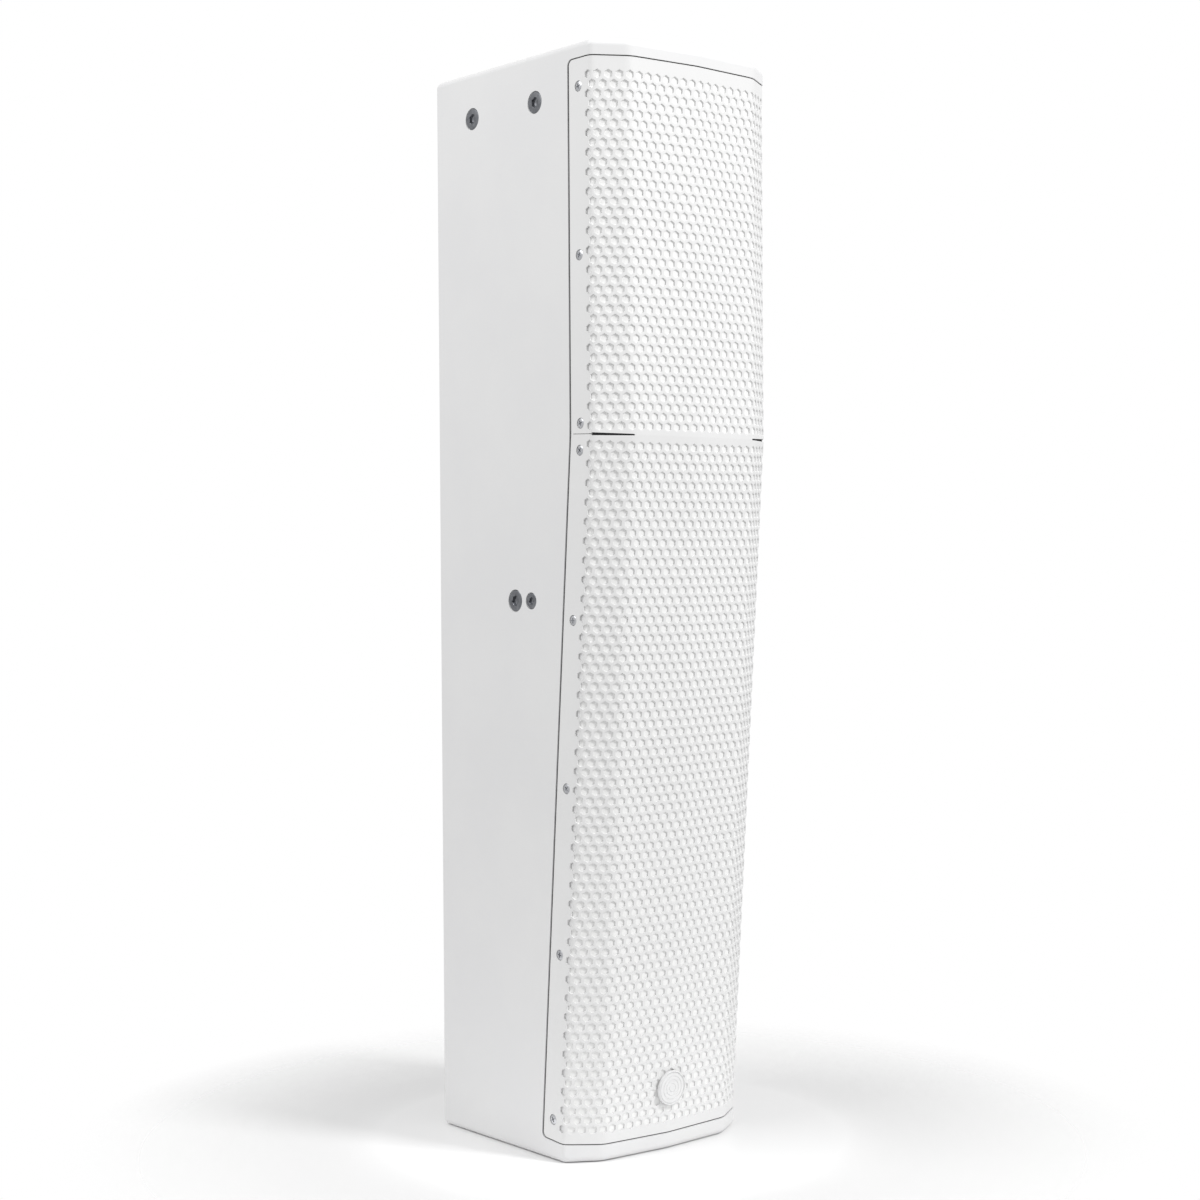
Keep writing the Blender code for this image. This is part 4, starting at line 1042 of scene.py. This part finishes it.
def evenly(first, last, count):
    """Values spaced evenly from first to last."""
    return [first + (last - first) * i / (count - 1) for i in range(count)]


def upper_screws():
    return evenly(SCREW_ABOVE_KINK, UPPER_LENGTH - SCREW_BELOW_TOP, 3)


def lower_screws():
    return evenly(-SCREW_BELOW_KINK, SCREW_ABOVE_FOOT - LOWER_LENGTH, 5)


def make_grille():
    """Both sections of the folded sheet, joined at the kink."""
    cells = make_holed_cell(), make_blank_cell()
    upper = make_section(cells, UPPER_ROWS, UPPER_FIRST_ROW, UPPER_LENGTH, upper_screws(), UPPER, 1)
    lower = make_section(cells, LOWER_ROWS, LOWER_FIRST_ROW, LOWER_LENGTH, lower_screws(), LOWER, -1)
    for cell in cells:
        bpy.data.objects.remove(cell)
    grille = gathered([upper, lower], "grille")
    even_faces(shade(grille, 50))
    return finish_piece(grille, "perforated_grille", "grille", "front_grille")


# ---------------------------------------------------------------- foam, seam strip and badge


def make_foam():
    """Soft sheets behind the holes, folded with the grille; they stop short of the kink's blank band."""
    bend = FOLD.bends[2]
    along = np.linspace(-bend - FOAM_PAST_BEND, bend + FOAM_PAST_BEND, 73)
    thick = np.interp(np.abs(along), [bend - inner for inner in FOAM_THINNING], [FOAM_T, FOAM_RIM_T])
    front = np.full_like(along, -FOAM_LEVEL)
    work = bmesh.new()
    spans = (
        (UPPER, FOAM_ABOVE_KINK, UPPER_LENGTH - FOAM_SHORT),
        (LOWER, -LOWER_LENGTH + FOAM_SHORT, -FOAM_BELOW_KINK),
    )
    for matrix, low, high in spans:
        rings = []
        for up in np.linspace(low, high, 12):
            outline = np.concatenate([along, along[::-1]])
            out = np.concatenate([front, (front - thick)[::-1]])
            bent = folded(np.stack([outline, np.full_like(outline, up), out], 1))
            rings.append([work.verts.new(matrix @ Vector(point)) for point in bent])
        skin_all(work, rings, capped=False)
        for ring in (rings[0], rings[-1]):
            count = len(ring)
            for i in range(count // 2 - 1):
                work.faces.new((ring[i], ring[i + 1], ring[count - 2 - i], ring[count - 1 - i]))
    foam = from_bmesh(work, "foam")
    return finish_piece(shade(foam, 40), "acoustic_foam", "foam", "grille_foam")


def seam_path(length):
    """Pairs of (along, up) points on both sides of the seam, from one kink round the end to the other."""
    end, tip, gap = FOLD.end, length - SEAM_GAP, SEAM_SHADE_GAP
    inner_radius, wide, tall = SEAM_CORNER + gap, SIDE_SEAM - 2 * gap, SEAM_GAP - 2 * gap
    middle = Vector((end - SEAM_CORNER, tip - SEAM_CORNER))
    half = [((end + gap, 0.0), (end + gap + wide, 0.0))]
    for turn in range(0, 91, 15):
        x, y = math.cos(math.radians(turn)), math.sin(math.radians(turn))
        near = (middle.x + inner_radius * x, middle.y + inner_radius * y)
        far = (middle.x + (inner_radius + wide) * x, middle.y + (inner_radius + tall) * y)
        half.append((near, far))
    for x in np.linspace(middle.x, 0, 30)[1:]:
        half.append(((x, tip + gap), (x, tip + gap + tall)))
    other = [((-near[0], near[1]), (-far[0], far[1])) for near, far in half[:-1]]
    return other + half[::-1]


def make_seam_shade_strip():
    """Near-black strip in the seam round each section, a little below the surface: painted shade that makes
    the seam a dark line. The black sheets behind the relief slots go into the same piece.
    """
    front, back = SEAM_SHADE_LEVELS
    work = bmesh.new()
    for matrix, sign, length in ((UPPER, 1, UPPER_LENGTH), (LOWER, -1, LOWER_LENGTH)):
        rings = []
        for near, far in seam_path(length):
            ring = []
            for (x, y), level in ((near, front), (far, front), (far, back), (near, back)):
                bent = folded(np.array([[x, sign * y, level]]))[0]
                if y == 0.0:
                    bent[1] = -bent[2] * MITRE + sign * 0.05 * MM
                ring.append(work.verts.new(matrix @ Vector(bent)))
            rings.append(ring)
        skin_all(work, rings)
    add_slot_shade(work)
    strip = from_bmesh(work, "strip")
    # the near-black material is painted shade in the seam and behind the relief slots
    return finish_piece(shade(strip, 30), "seam_strip", "rubber", material=MATERIALS["strip"])


def add_slot_shade(work):
    """A black sheet behind each relief slot, from its tip round the flange's bend: painted shade that makes
    the slot look dark.
    """
    front, back = SLOT_SHADE_LEVELS
    section = ((-SLOT_SHADE_HALF, front), (SLOT_SHADE_HALF, front), (SLOT_SHADE_HALF, back), (-SLOT_SHADE_HALF, back))
    for side in (-1, 1):
        rings = []
        for along in np.linspace(SLOT_START - 2 * MM, FOLD.bends[2] + 5 * MM, 20):
            ring = []
            for up, level in section:
                bent = folded(np.array([[side * along, up, level]]))[0]
                matrix = UPPER if up > 0 else LOWER
                ring.append(work.verts.new(matrix @ Vector(bent)))
            rings.append(ring)
        skin_all(work, rings)


def badge_matrix():
    """The badge's place on the lower section's front, z out of it."""
    down = (KINK_HEIGHT - middle_of("badge").z) / math.cos(LEAN)
    return LOWER @ Matrix.Translation((0, -down, -SHEET_INSET))


def make_badge():
    """A plain round badge: three shallow concentric grooves inside a raised, rounded rim."""
    radius = BADGE_RADIUS
    profile = [(0, BADGE_FACE)]
    for groove in (0.24, 0.46, 0.68):
        profile += [(radius * (groove - 0.05), BADGE_FACE), (radius * (groove - 0.03), BADGE_GROOVE)]
        profile += [(radius * (groove + 0.01), BADGE_GROOVE), (radius * (groove + 0.03), BADGE_FACE)]
    profile += [
        (radius * 0.86, 2.2 * MM),
        (radius * 0.88, 1.7 * MM),
        (radius * 0.91, 1.7 * MM),
        (radius * 0.93, 2.45 * MM),
        (radius * 0.97, 2.5 * MM),
        (radius * 0.99, 2.2 * MM),
        (radius, 1.7 * MM),
        (radius, 0.4 * MM),
        (radius * 0.96, 0.1 * MM),
        (0, -0.2 * MM),
    ]
    badge = turned(profile, 64, badge_matrix())
    return finish_piece(shade(badge, 30), "round_badge", "badge", "badge")


# ---------------------------------------------------------------- cabinet shell


def plan_outline(crest_y):
    """A top or bottom plate seen from above."""
    half_front = softened(
        [(-HALF, REAR), (-HALF, crest_y + CHAMFER_END)]
        + [(-FACET_HALF, crest_y + CREST_RISE), (0, crest_y), (FACET_HALF, crest_y + CREST_RISE)]
        + [(HALF, crest_y + CHAMFER_END), (HALF, REAR)],
        [FLANGE_BEND, FRONT_BEND, CREST_BEND, FRONT_BEND, FLANGE_BEND],
    )[1:-1]
    return half_front + rear_corners()


def rear_corners():
    """The rounded rear corners seen from above, right then left."""
    right = arc((HALF - EDGE_ROUND, REAR - EDGE_ROUND), EDGE_ROUND, 0, 90, 10)
    left = arc((EDGE_ROUND - HALF, REAR - EDGE_ROUND), EDGE_ROUND, 90, 180, 10)
    return right + left


def side_points(depth, top, foot_level):
    """(y, z) down the side at this depth behind the crest: top, kink, and a level of the lower section."""
    y = CREST + depth
    foot = LOWER @ Vector((0, foot_level, -depth))
    return [(y, top), (y, KINK_HEIGHT + depth * MITRE), (foot.y, foot.z)]


def rounded_plate(crest_y, low, high, face_level):
    """A plate whose outer face has a rounded edge all the way round."""
    plate = prism(plan_outline(crest_y), low, high)
    work = bmesh.new()
    work.from_mesh(plate.data)
    edges = [e for e in work.edges if all(abs(v.co.z - face_level) < 1e-6 for v in e.verts)]
    rounding = {"offset": EDGE_ROUND, "segments": 8, "profile": 0.5, "clamp_overlap": True}
    bmesh.ops.bevel(work, geom=edges, affect="EDGES", **rounding)
    work.to_mesh(plate.data)
    work.free()
    return plate


def make_pocket():
    """What the grille and the inside take away from the front: one cut across, a rabbet in each side."""
    past = 30 * MM
    foot = LOWER @ Vector((0, -LOWER_LENGTH, past))
    front_top, front_foot = (CREST - past, TOP_UNDER), (foot.y, foot.z)
    outline = side_points(SIDE_FRONT, TOP_UNDER, -LOWER_LENGTH) + [front_foot, front_top]
    across = prism(outline, -HALF - past, HALF + past, SIDE_VIEW)
    corners = side_points(SEAM_DEPTH + SIDE_SEAM, TOP_UNDER, -LOWER_LENGTH)
    radii = [SEAM_CORNER + SEAM_GAP, KINK_ROUND, SEAM_CORNER + SEAM_GAP]
    outline = softened([front_top, *corners, front_foot], radii)
    depth = SHEET_INSET + SHEET + 0.3 * MM
    rabbets = []
    for side in (-1, 1):
        low, high = sorted((side * (HALF - depth), side * (HALF + past)))
        rabbets.append(prism(outline, low, high, SIDE_VIEW))
    return across, rabbets


def rigging_places():
    """Matrices of the M8 and the M6 plug screws, z out of the side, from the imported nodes' boxes."""
    places = {"m8": [], "m6": []}
    for side, label in ((-1, "left"), (1, "right")):
        for which in ("upper_rear", "upper_front", "middle_m8", "middle_m6"):
            low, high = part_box(f"rigging_screw_{label}_{which}")
            y, z = (low[1] + high[1]) / 2, (low[2] + high[2]) / 2
            place = side_place(side, HALF, y, z, 0.3 + z)
            places["m6" if which.endswith("m6") else "m8"].append(place)
    return places


def side_place(side, out, y, z, turn):
    """A place on one side of the cabinet, z outwards, turned about its own axis."""
    outwards = Matrix.Rotation(side * math.pi / 2, 4, "Y") @ Matrix.Rotation(turn, 4, "Z")
    return Matrix.Translation((side * out, y, z)) @ outwards


def countersinks():
    """Cutters for the seats of the plug screws' heads and the tapped holes behind them."""
    tools = []
    places = rigging_places()
    for key, size in (("m8", RIGGING_M8), ("m6", RIGGING_M6)):
        rim = size["head"] / 2 + 0.35 * MM
        for matrix in places[key]:
            profile = [(0, MM), (rim, MM), (rim, -0.6 * MM), (rim * 0.5, -size["cone"] - MM)]
            profile += [(rim * 0.5, -COUNTERSINK_DEPTH), (0, -COUNTERSINK_DEPTH)]
            tools.append(turned(profile, 40, matrix))
    return gathered(tools)


def make_shell():
    """The cabinet with its joints filled and painted over."""
    front = CREST + SIDE_FRONT - 6 * MM
    pocket_foot = LOWER @ Vector((0, -LOWER_LENGTH, -SIDE_FRONT))
    low, high = pocket_foot.z + 0.4 * MM, TOP_UNDER - MM
    shell = prism([(-HALF, front), (HALF, front)] + rear_corners(), low, high)
    combine(shell, rounded_plate(CREST, TOP_UNDER - 3 * MM, HEIGHT, HEIGHT), "UNION")
    combine(shell, rounded_plate(FOOT_CREST, 0, BOTTOM_T + 4 * MM, 0), "UNION")
    y, z, past = REAR - TOP_REAR_ROUND, HEIGHT - TOP_REAR_ROUND, 5 * MM
    corner = [(y, HEIGHT + past), (REAR + past, HEIGHT + past), (REAR + past, z)]
    corner += arc((y, z), TOP_REAR_ROUND, 0, 90, 16)
    combine(shell, prism(corner, -HALF - MM, HALF + MM, SIDE_VIEW), "DIFFERENCE")
    across, rabbets = make_pocket()
    combine(shell, across, "DIFFERENCE")
    inside = side_points(SIDE_FRONT - 0.5 * MM, TOP_UNDER, -LOWER_LENGTH)
    inside[2] = (inside[2][0], BOTTOM_T)
    outline = inside + [(REAR_INSIDE, BOTTOM_T), (REAR_INSIDE, TOP_UNDER)]
    room = prism(outline, -INNER_HALF, INNER_HALF, SIDE_VIEW)
    for cut in (*rabbets, room, countersinks(), terminal_recess()):
        combine(shell, cut, "DIFFERENCE")
    clean(shell)
    soften = shell.modifiers.new("Arris", "BEVEL")
    soften.width = ARRIS
    soften.segments = 2
    soften.limit_method = "ANGLE"
    soften.angle_limit = math.radians(50)
    soften.harden_normals = False
    soften.use_clamp_overlap = True
    applied(shell)
    even_faces(shade(shell, 38))
    return finish_piece(
        shell, "painted_cabinet", "paint",
        "top_panel", "bottom_panel", "rear_panel", "side_panel_left", "side_panel_right",
    )


def clean(made):
    """Joins stray doubles, dissolves the needless edges that cutting leaves, and fills open holes."""
    work = bmesh.new()
    work.from_mesh(made.data)
    bmesh.ops.remove_doubles(work, verts=work.verts, dist=2e-6)
    bmesh.ops.dissolve_limit(work, angle_limit=math.radians(0.3), verts=work.verts, edges=work.edges)
    bmesh.ops.holes_fill(work, edges=[edge for edge in work.edges if edge.is_boundary], sides=0)
    work.to_mesh(made.data)
    work.free()


def terminal_recess():
    """The recess for the terminal plate, and the opening through the rear panel inside its ledge."""
    low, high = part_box("terminal_plate")
    gap, ledge = 0.3 * MM, 9 * MM
    past = 5 * MM
    face = block((low[0] - gap, low[1] - gap, low[2] - gap), (high[0] + gap, REAR + past, high[2] + gap))
    inner_low = (low[0] + ledge, REAR_INSIDE - past, low[2] + ledge)
    through = block(inner_low, (high[0] - ledge, REAR, high[2] - ledge))
    return combine(face, through, "UNION")


# ---------------------------------------------------------------- screws


def make_plug_screw(size):
    """Countersunk plug screw: flat head with a turned edge and a hexagon socket."""
    head, face, tip = size["head"] / 2, -0.05 * MM, -size["cone"] - 0.4 * MM
    profile = [
        (0, face),
        (head - 1.0 * MM, face),
        (head - 0.35 * MM, -0.18 * MM),
        (head, -0.55 * MM),
        (head * 0.5, tip),
        (0, tip),
    ]
    screw = turned(profile, 48)
    key = size["key"] / 2 / math.cos(math.radians(30))
    angles = [math.radians(60 * i) for i in range(6)]
    outline = [(key * math.cos(a), key * math.sin(a)) for a in angles]
    combine(screw, prism(outline, -KEY_DEPTH, MM), "DIFFERENCE")
    lead = [(0, MM), (key + 0.9 * MM, MM), (key * 0.8, -0.75 * MM), (0, -0.75 * MM)]
    combine(screw, turned(lead, 48), "DIFFERENCE")
    drilled = [(0, 0), (key * 0.6, 0), (key * 0.6, -KEY_DEPTH - 0.2 * MM), (0, -KEY_DEPTH - 0.9 * MM)]
    combine(screw, turned(drilled, 24), "DIFFERENCE")
    return screw


def make_cross_screw():
    """Small countersunk screw with a cross recess."""
    head = GRILLE_SCREW["head"] / 2
    profile = [
        (0, 0.22 * MM),
        (head * 0.55, 0.16 * MM),
        (head * 0.88, 0.0),
        (head, -0.25 * MM),
        (head * 0.45, -GRILLE_SCREW["cone"]),
        (0, -GRILLE_SCREW["cone"]),
    ]
    screw = turned(profile, 28)
    arm, half = head * 0.55, 0.42 * MM
    cross = [(arm, half), (half, half), (half, arm), (-half, arm), (-half, half), (-arm, half)]
    cross += [(-x, -y) for x, y in cross]
    combine(screw, prism(cross, -1.3 * MM, MM), "DIFFERENCE")
    return screw


def grille_screw_places():
    """Matrices of the flange screws, each turned by its own amount as a fitter would leave it."""
    points = [UPPER @ Vector((0, up, -SCREW_DEPTH)) for up in upper_screws()]
    points += [LOWER @ Vector((0, up, -SCREW_DEPTH)) for up in lower_screws()]
    face = HALF - SHEET_INSET - 0.1 * MM
    places = []
    for side in (-1, 1):
        for index, point in enumerate(points):
            places.append(side_place(side, face, point.y, point.z, 0.35 + 0.7 * index))
    return places


def node_names(start):
    return [name for name in NODES if name.startswith(start)]


def make_screws():
    places = rigging_places()
    m6 = [name for name in node_names("rigging_screw") if name.endswith("m6")]
    m8 = [name for name in node_names("rigging_screw") if not name.endswith("m6")]
    set_at(make_plug_screw(RIGGING_M8), places["m8"], "plug_screws_m8", "dark_steel", *m8)
    set_at(make_plug_screw(RIGGING_M6), places["m6"], "plug_screws_m6", "dark_steel", *m6)
    set_at(make_cross_screw(), grille_screw_places(), "flange_screws", "steel", *node_names("grille_screw"))


# ---------------------------------------------------------------- terminals at the rear


def rounded_rectangle(half_w, half_h, radius):
    """Corner points of a flat plate with rounded corners."""
    points = []
    for i, (x, y) in enumerate(((1, 1), (-1, 1), (-1, -1), (1, -1))):
        middle = (x * (half_w - radius), y * (half_h - radius))
        points += arc(middle, radius, 90 * i, 90 * i + 90, 6)
    return points


def rear_place(x, y, z):
    """z out of the cabinet's back."""
    return Matrix.Translation((x, y, z)) @ Matrix.Rotation(-math.pi / 2, 4, "X")


def rear_middle(name):
    """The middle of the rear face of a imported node's box."""
    low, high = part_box(name)
    return (low[0] + high[0]) / 2, high[1], (low[2] + high[2]) / 2


SOCKET_PLACES = [rear_middle(name) for name in ("socket_1", "socket_2")]


def make_terminal_panel():
    """Terminal plate with a pressed step round its edge and a clearance hole for each socket."""
    low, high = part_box("terminal_plate")
    x, y, z = rear_middle("terminal_plate")
    half_w, half_h = (high[0] - low[0]) / 2, (high[2] - low[2]) / 2
    place = rear_place(x, y, z)
    panel = prism(rounded_rectangle(half_w, half_h, 2 * MM), low[1] - y, -PLATE_STEP, place)
    inner = rounded_rectangle(half_w - PLATE_RIM, half_h - PLATE_RIM, 2 * MM)
    combine(panel, prism(inner, -1.5 * PLATE_STEP, 0, place), "UNION")
    radius = COLLAR_RADIUS + 0.3 * MM
    for socket_x, _, socket_z in SOCKET_PLACES:
        profile = [(0, MM), (radius, MM), (radius, -4 * MM), (0, -4 * MM)]
        combine(panel, turned(profile, 40, rear_place(socket_x, y, socket_z)), "DIFFERENCE")
    finish_piece(shade(panel, 40), "terminal_panel", "dark_steel", "terminal_plate")
    across, up = half_w - PLATE_SCREW_INSET, half_h - PLATE_SCREW_INSET
    return [(x + i * across, y, z + j * up) for i in (-1, 1) for j in (-1, 1)]


def make_sockets():
    """Four-pole twist-lock sockets: flange, collar, well with two keyways, core with contact slots."""
    sockets = gathered([make_socket(rear_place(*place)) for place in SOCKET_PLACES], "sockets")
    finish_piece(shade(sockets, 35), "twist_lock_sockets", "plastic", "socket_1", "socket_2")
    across, up = FLANGE_SCREWS
    return [(x - i * across, y, z + i * up) for x, y, z in SOCKET_PLACES for i in (1, -1)]


def make_socket(place):
    """One socket at its place on the terminal plate."""
    socket = prism(rounded_rectangle(*FLANGE_HALF_SIZE, 3 * MM), -FLANGE_T, 0, place)
    collar, core, bore = COLLAR_RADIUS, CORE_RADIUS, WELL_RADIUS
    body = [(0, COLLAR_RISE), (collar - 0.6 * MM, COLLAR_RISE), (collar, 0.2 * MM)]
    body += [(collar, -SOCKET_DEPTH), (0, -SOCKET_DEPTH)]
    combine(socket, turned(body, 48, place), "UNION")
    well = [(0, 5 * MM), (bore, 5 * MM), (bore, -WELL_DEPTH)]
    well += [(core, -WELL_DEPTH), (core, -CORE_DEPTH), (0, -CORE_DEPTH)]
    combine(socket, turned(well, 48, place), "DIFFERENCE")
    keyway = ((bore - MM, -KEYWAY_HALF, -14 * MM), (bore + 0.7 * MM, KEYWAY_HALF, 5 * MM))
    contact = ((core - 1.1 * MM, -CONTACT_HALF, -12 * MM), (core + MM, CONTACT_HALF, -MM))
    cuts = [(keyway, KEYWAY_TURN), (keyway, KEYWAY_TURN + math.pi)]
    cuts += [(contact, math.radians(45 + 90 * quarter)) for quarter in range(4)]
    for corners, turn in cuts:
        cutter = block(*corners)
        cutter.data.transform(place @ Matrix.Rotation(turn, 4, "Z"))
        combine(socket, cutter, "DIFFERENCE")
    clean(socket)
    return socket


def make_terminals():
    """Terminal plate, its sockets and the screws of both, each turned by its own amount."""
    heads = make_terminal_panel() + make_sockets()
    places = [rear_place(*head) @ Matrix.Rotation(0.5 * i, 4, "Z") for i, head in enumerate(heads)]
    screw = make_cross_screw()
    screw.data.transform(Matrix.Scale(0.8, 4))
    set_at(screw, places, "terminal_screws", "steel")


# ---------------------------------------------------------------- woofer surrounds


def surround_profile():
    """(radius, z) points round the section of the rubber: glue bead, half roll and seat."""
    middle, reach = (CONE_EDGE + SURROUND_OUTER - SURROUND_GLUE) / 2, SURROUND_REACH
    level, top = SURROUND_LEVEL, SURROUND_LEVEL + SURROUND_T
    angles = [math.pi * i / 10 for i in range(11)]
    roll, inside = SURROUND_ROLL, SURROUND_REACH - SURROUND_T
    under = [(middle + inside * math.cos(a), level + roll * math.sin(a)) for a in angles]
    over = [(middle + reach * math.cos(a), top + roll * math.sin(a)) for a in reversed(angles)]
    inner = CONE_EDGE - SURROUND_GLUE
    return [(SURROUND_OUTER, top), (SURROUND_OUTER, level)] + under + [(inner, level), (inner, top)] + over


def make_surround(number):
    """A rubber half roll from the basket's rim to the cone's edge, at the woofer's surround."""
    node, moving = f"woofer_{number}_surround", f"woofer_{number}_moving"
    up = (LOWER.inverted() @ middle_of(node)).y
    place = LOWER @ Matrix.Translation((0, up, -BAFFLE_DEPTH))
    work = bmesh.new()
    rings = []
    for radius, z in surround_profile():
        angles = [2 * math.pi * i / 72 for i in range(72)]
        points = [place @ Vector((radius * math.cos(a), radius * math.sin(a), z)) for a in angles]
        rings.append([work.verts.new(point) for point in points])
    skin_all(work, rings + rings[:1], capped=False)
    made = shade(from_bmesh(work, "surround"), 40)
    dress(made, f"rubber_surround_{number}", "rubber", node)
    middle = np.array(place.to_translation())
    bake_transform(made)
    arms = read_points(made.data) - middle


# ---------------------------------------------------------------- stage, light and camera


def make_stage():
    """A plain pale floor that fades out, so that it has no edge."""
    radius, face, under = 4.0, -0.2 * MM, -2 * MM
    floor = turned([(0, face), (radius, face), (radius, under), (0, under)], 96)
    material, tree, shader = new_material("floor")
    place = object_place(tree)
    away = add(tree, "ShaderNodeVectorMath", {0: place}, operation="LENGTH").outputs["Value"]
    tree.links.new(spread(tree, away, 0.18, 0.42, 1.0, 0.0), shader.inputs["Alpha"])
    tone = tinted(tree, noise(tree, place, 3.0, 3.0), (0.90, 0.90, 0.90, 1), (0.93, 0.93, 0.93, 1))
    tree.links.new(tone, shader.inputs["Base Color"])
    shader.inputs["Roughness"].default_value = 0.3
    floor.data.materials.append(material)
    floor.name = "floor"


def make_light(name, place, target, size, power):
    data = bpy.data.lights.new(name, "AREA")
    data.shape = "RECTANGLE"
    data.size, data.size_y = size
    data.energy = power
    light = linked(name, data)
    light.location = place
    light.rotation_euler = (Vector(target) - Vector(place)).to_track_quat("-Z", "Y").to_euler()
    light.visible_camera = False


def make_world():
    """Even white surroundings, a little dimmer as light than they look behind the object."""
    world = bpy.data.worlds.new("studio")
    world.use_nodes = True
    bpy.context.scene.world = world
    tree = world.node_tree
    tree.nodes.clear()
    seen = add(tree, "ShaderNodeLightPath").outputs["Is Camera Ray"]
    strength = spread(tree, seen, 0.0, 1.0, 0.60, 1.0)
    wires = {"Color": (1, 1, 1, 1), "Strength": strength}
    background = add(tree, "ShaderNodeBackground", wires)
    output = add(tree, "ShaderNodeOutputWorld")
    tree.links.new(background.outputs[0], output.inputs["Surface"])


def make_camera():
    """Stands in front and to the left, at about half the object's height, and looks slightly down."""
    data = bpy.data.cameras.new("camera")
    data.lens = 65.16
    data.sensor_width = 36
    camera = linked("camera", data)
    heading, down, roll = -39.602, 1.124, -0.358
    turn = Matrix.Rotation(math.radians(heading), 4, "Z")
    turn = turn @ Matrix.Rotation(math.radians(90 - down), 4, "X")
    turn = turn @ Matrix.Rotation(math.radians(roll), 4, "Z")
    camera.matrix_world = Matrix.Translation((-1.0664, -1.27855, 0.4418)) @ turn
    bpy.context.scene.camera = camera


def make_studio():
    make_stage()
    make_world()
    middle = (0, 0, HEIGHT * 0.5)
    make_light("key", (0.7, -2.0, 2.1), middle, (0.5, 0.5), 42)
    make_light("side", (-1.6, 0.4, 2.0), middle, (1.5, 1.5), 23)
    make_light("top", (0.2, 0.2, 2.6), (0, 0, 0.4), (2.0, 2.0), 3)
    view = bpy.context.scene.view_settings
    view.view_transform = "Standard"
    view.look = "None"
    view.exposure = 0
    view.gamma = 1


make_camera()
make_studio()
make_shell()
make_grille()
make_foam()
make_seam_shade_strip()
make_badge()
make_screws()
make_terminals()
for woofer in range(1, 5):
    make_surround(woofer)
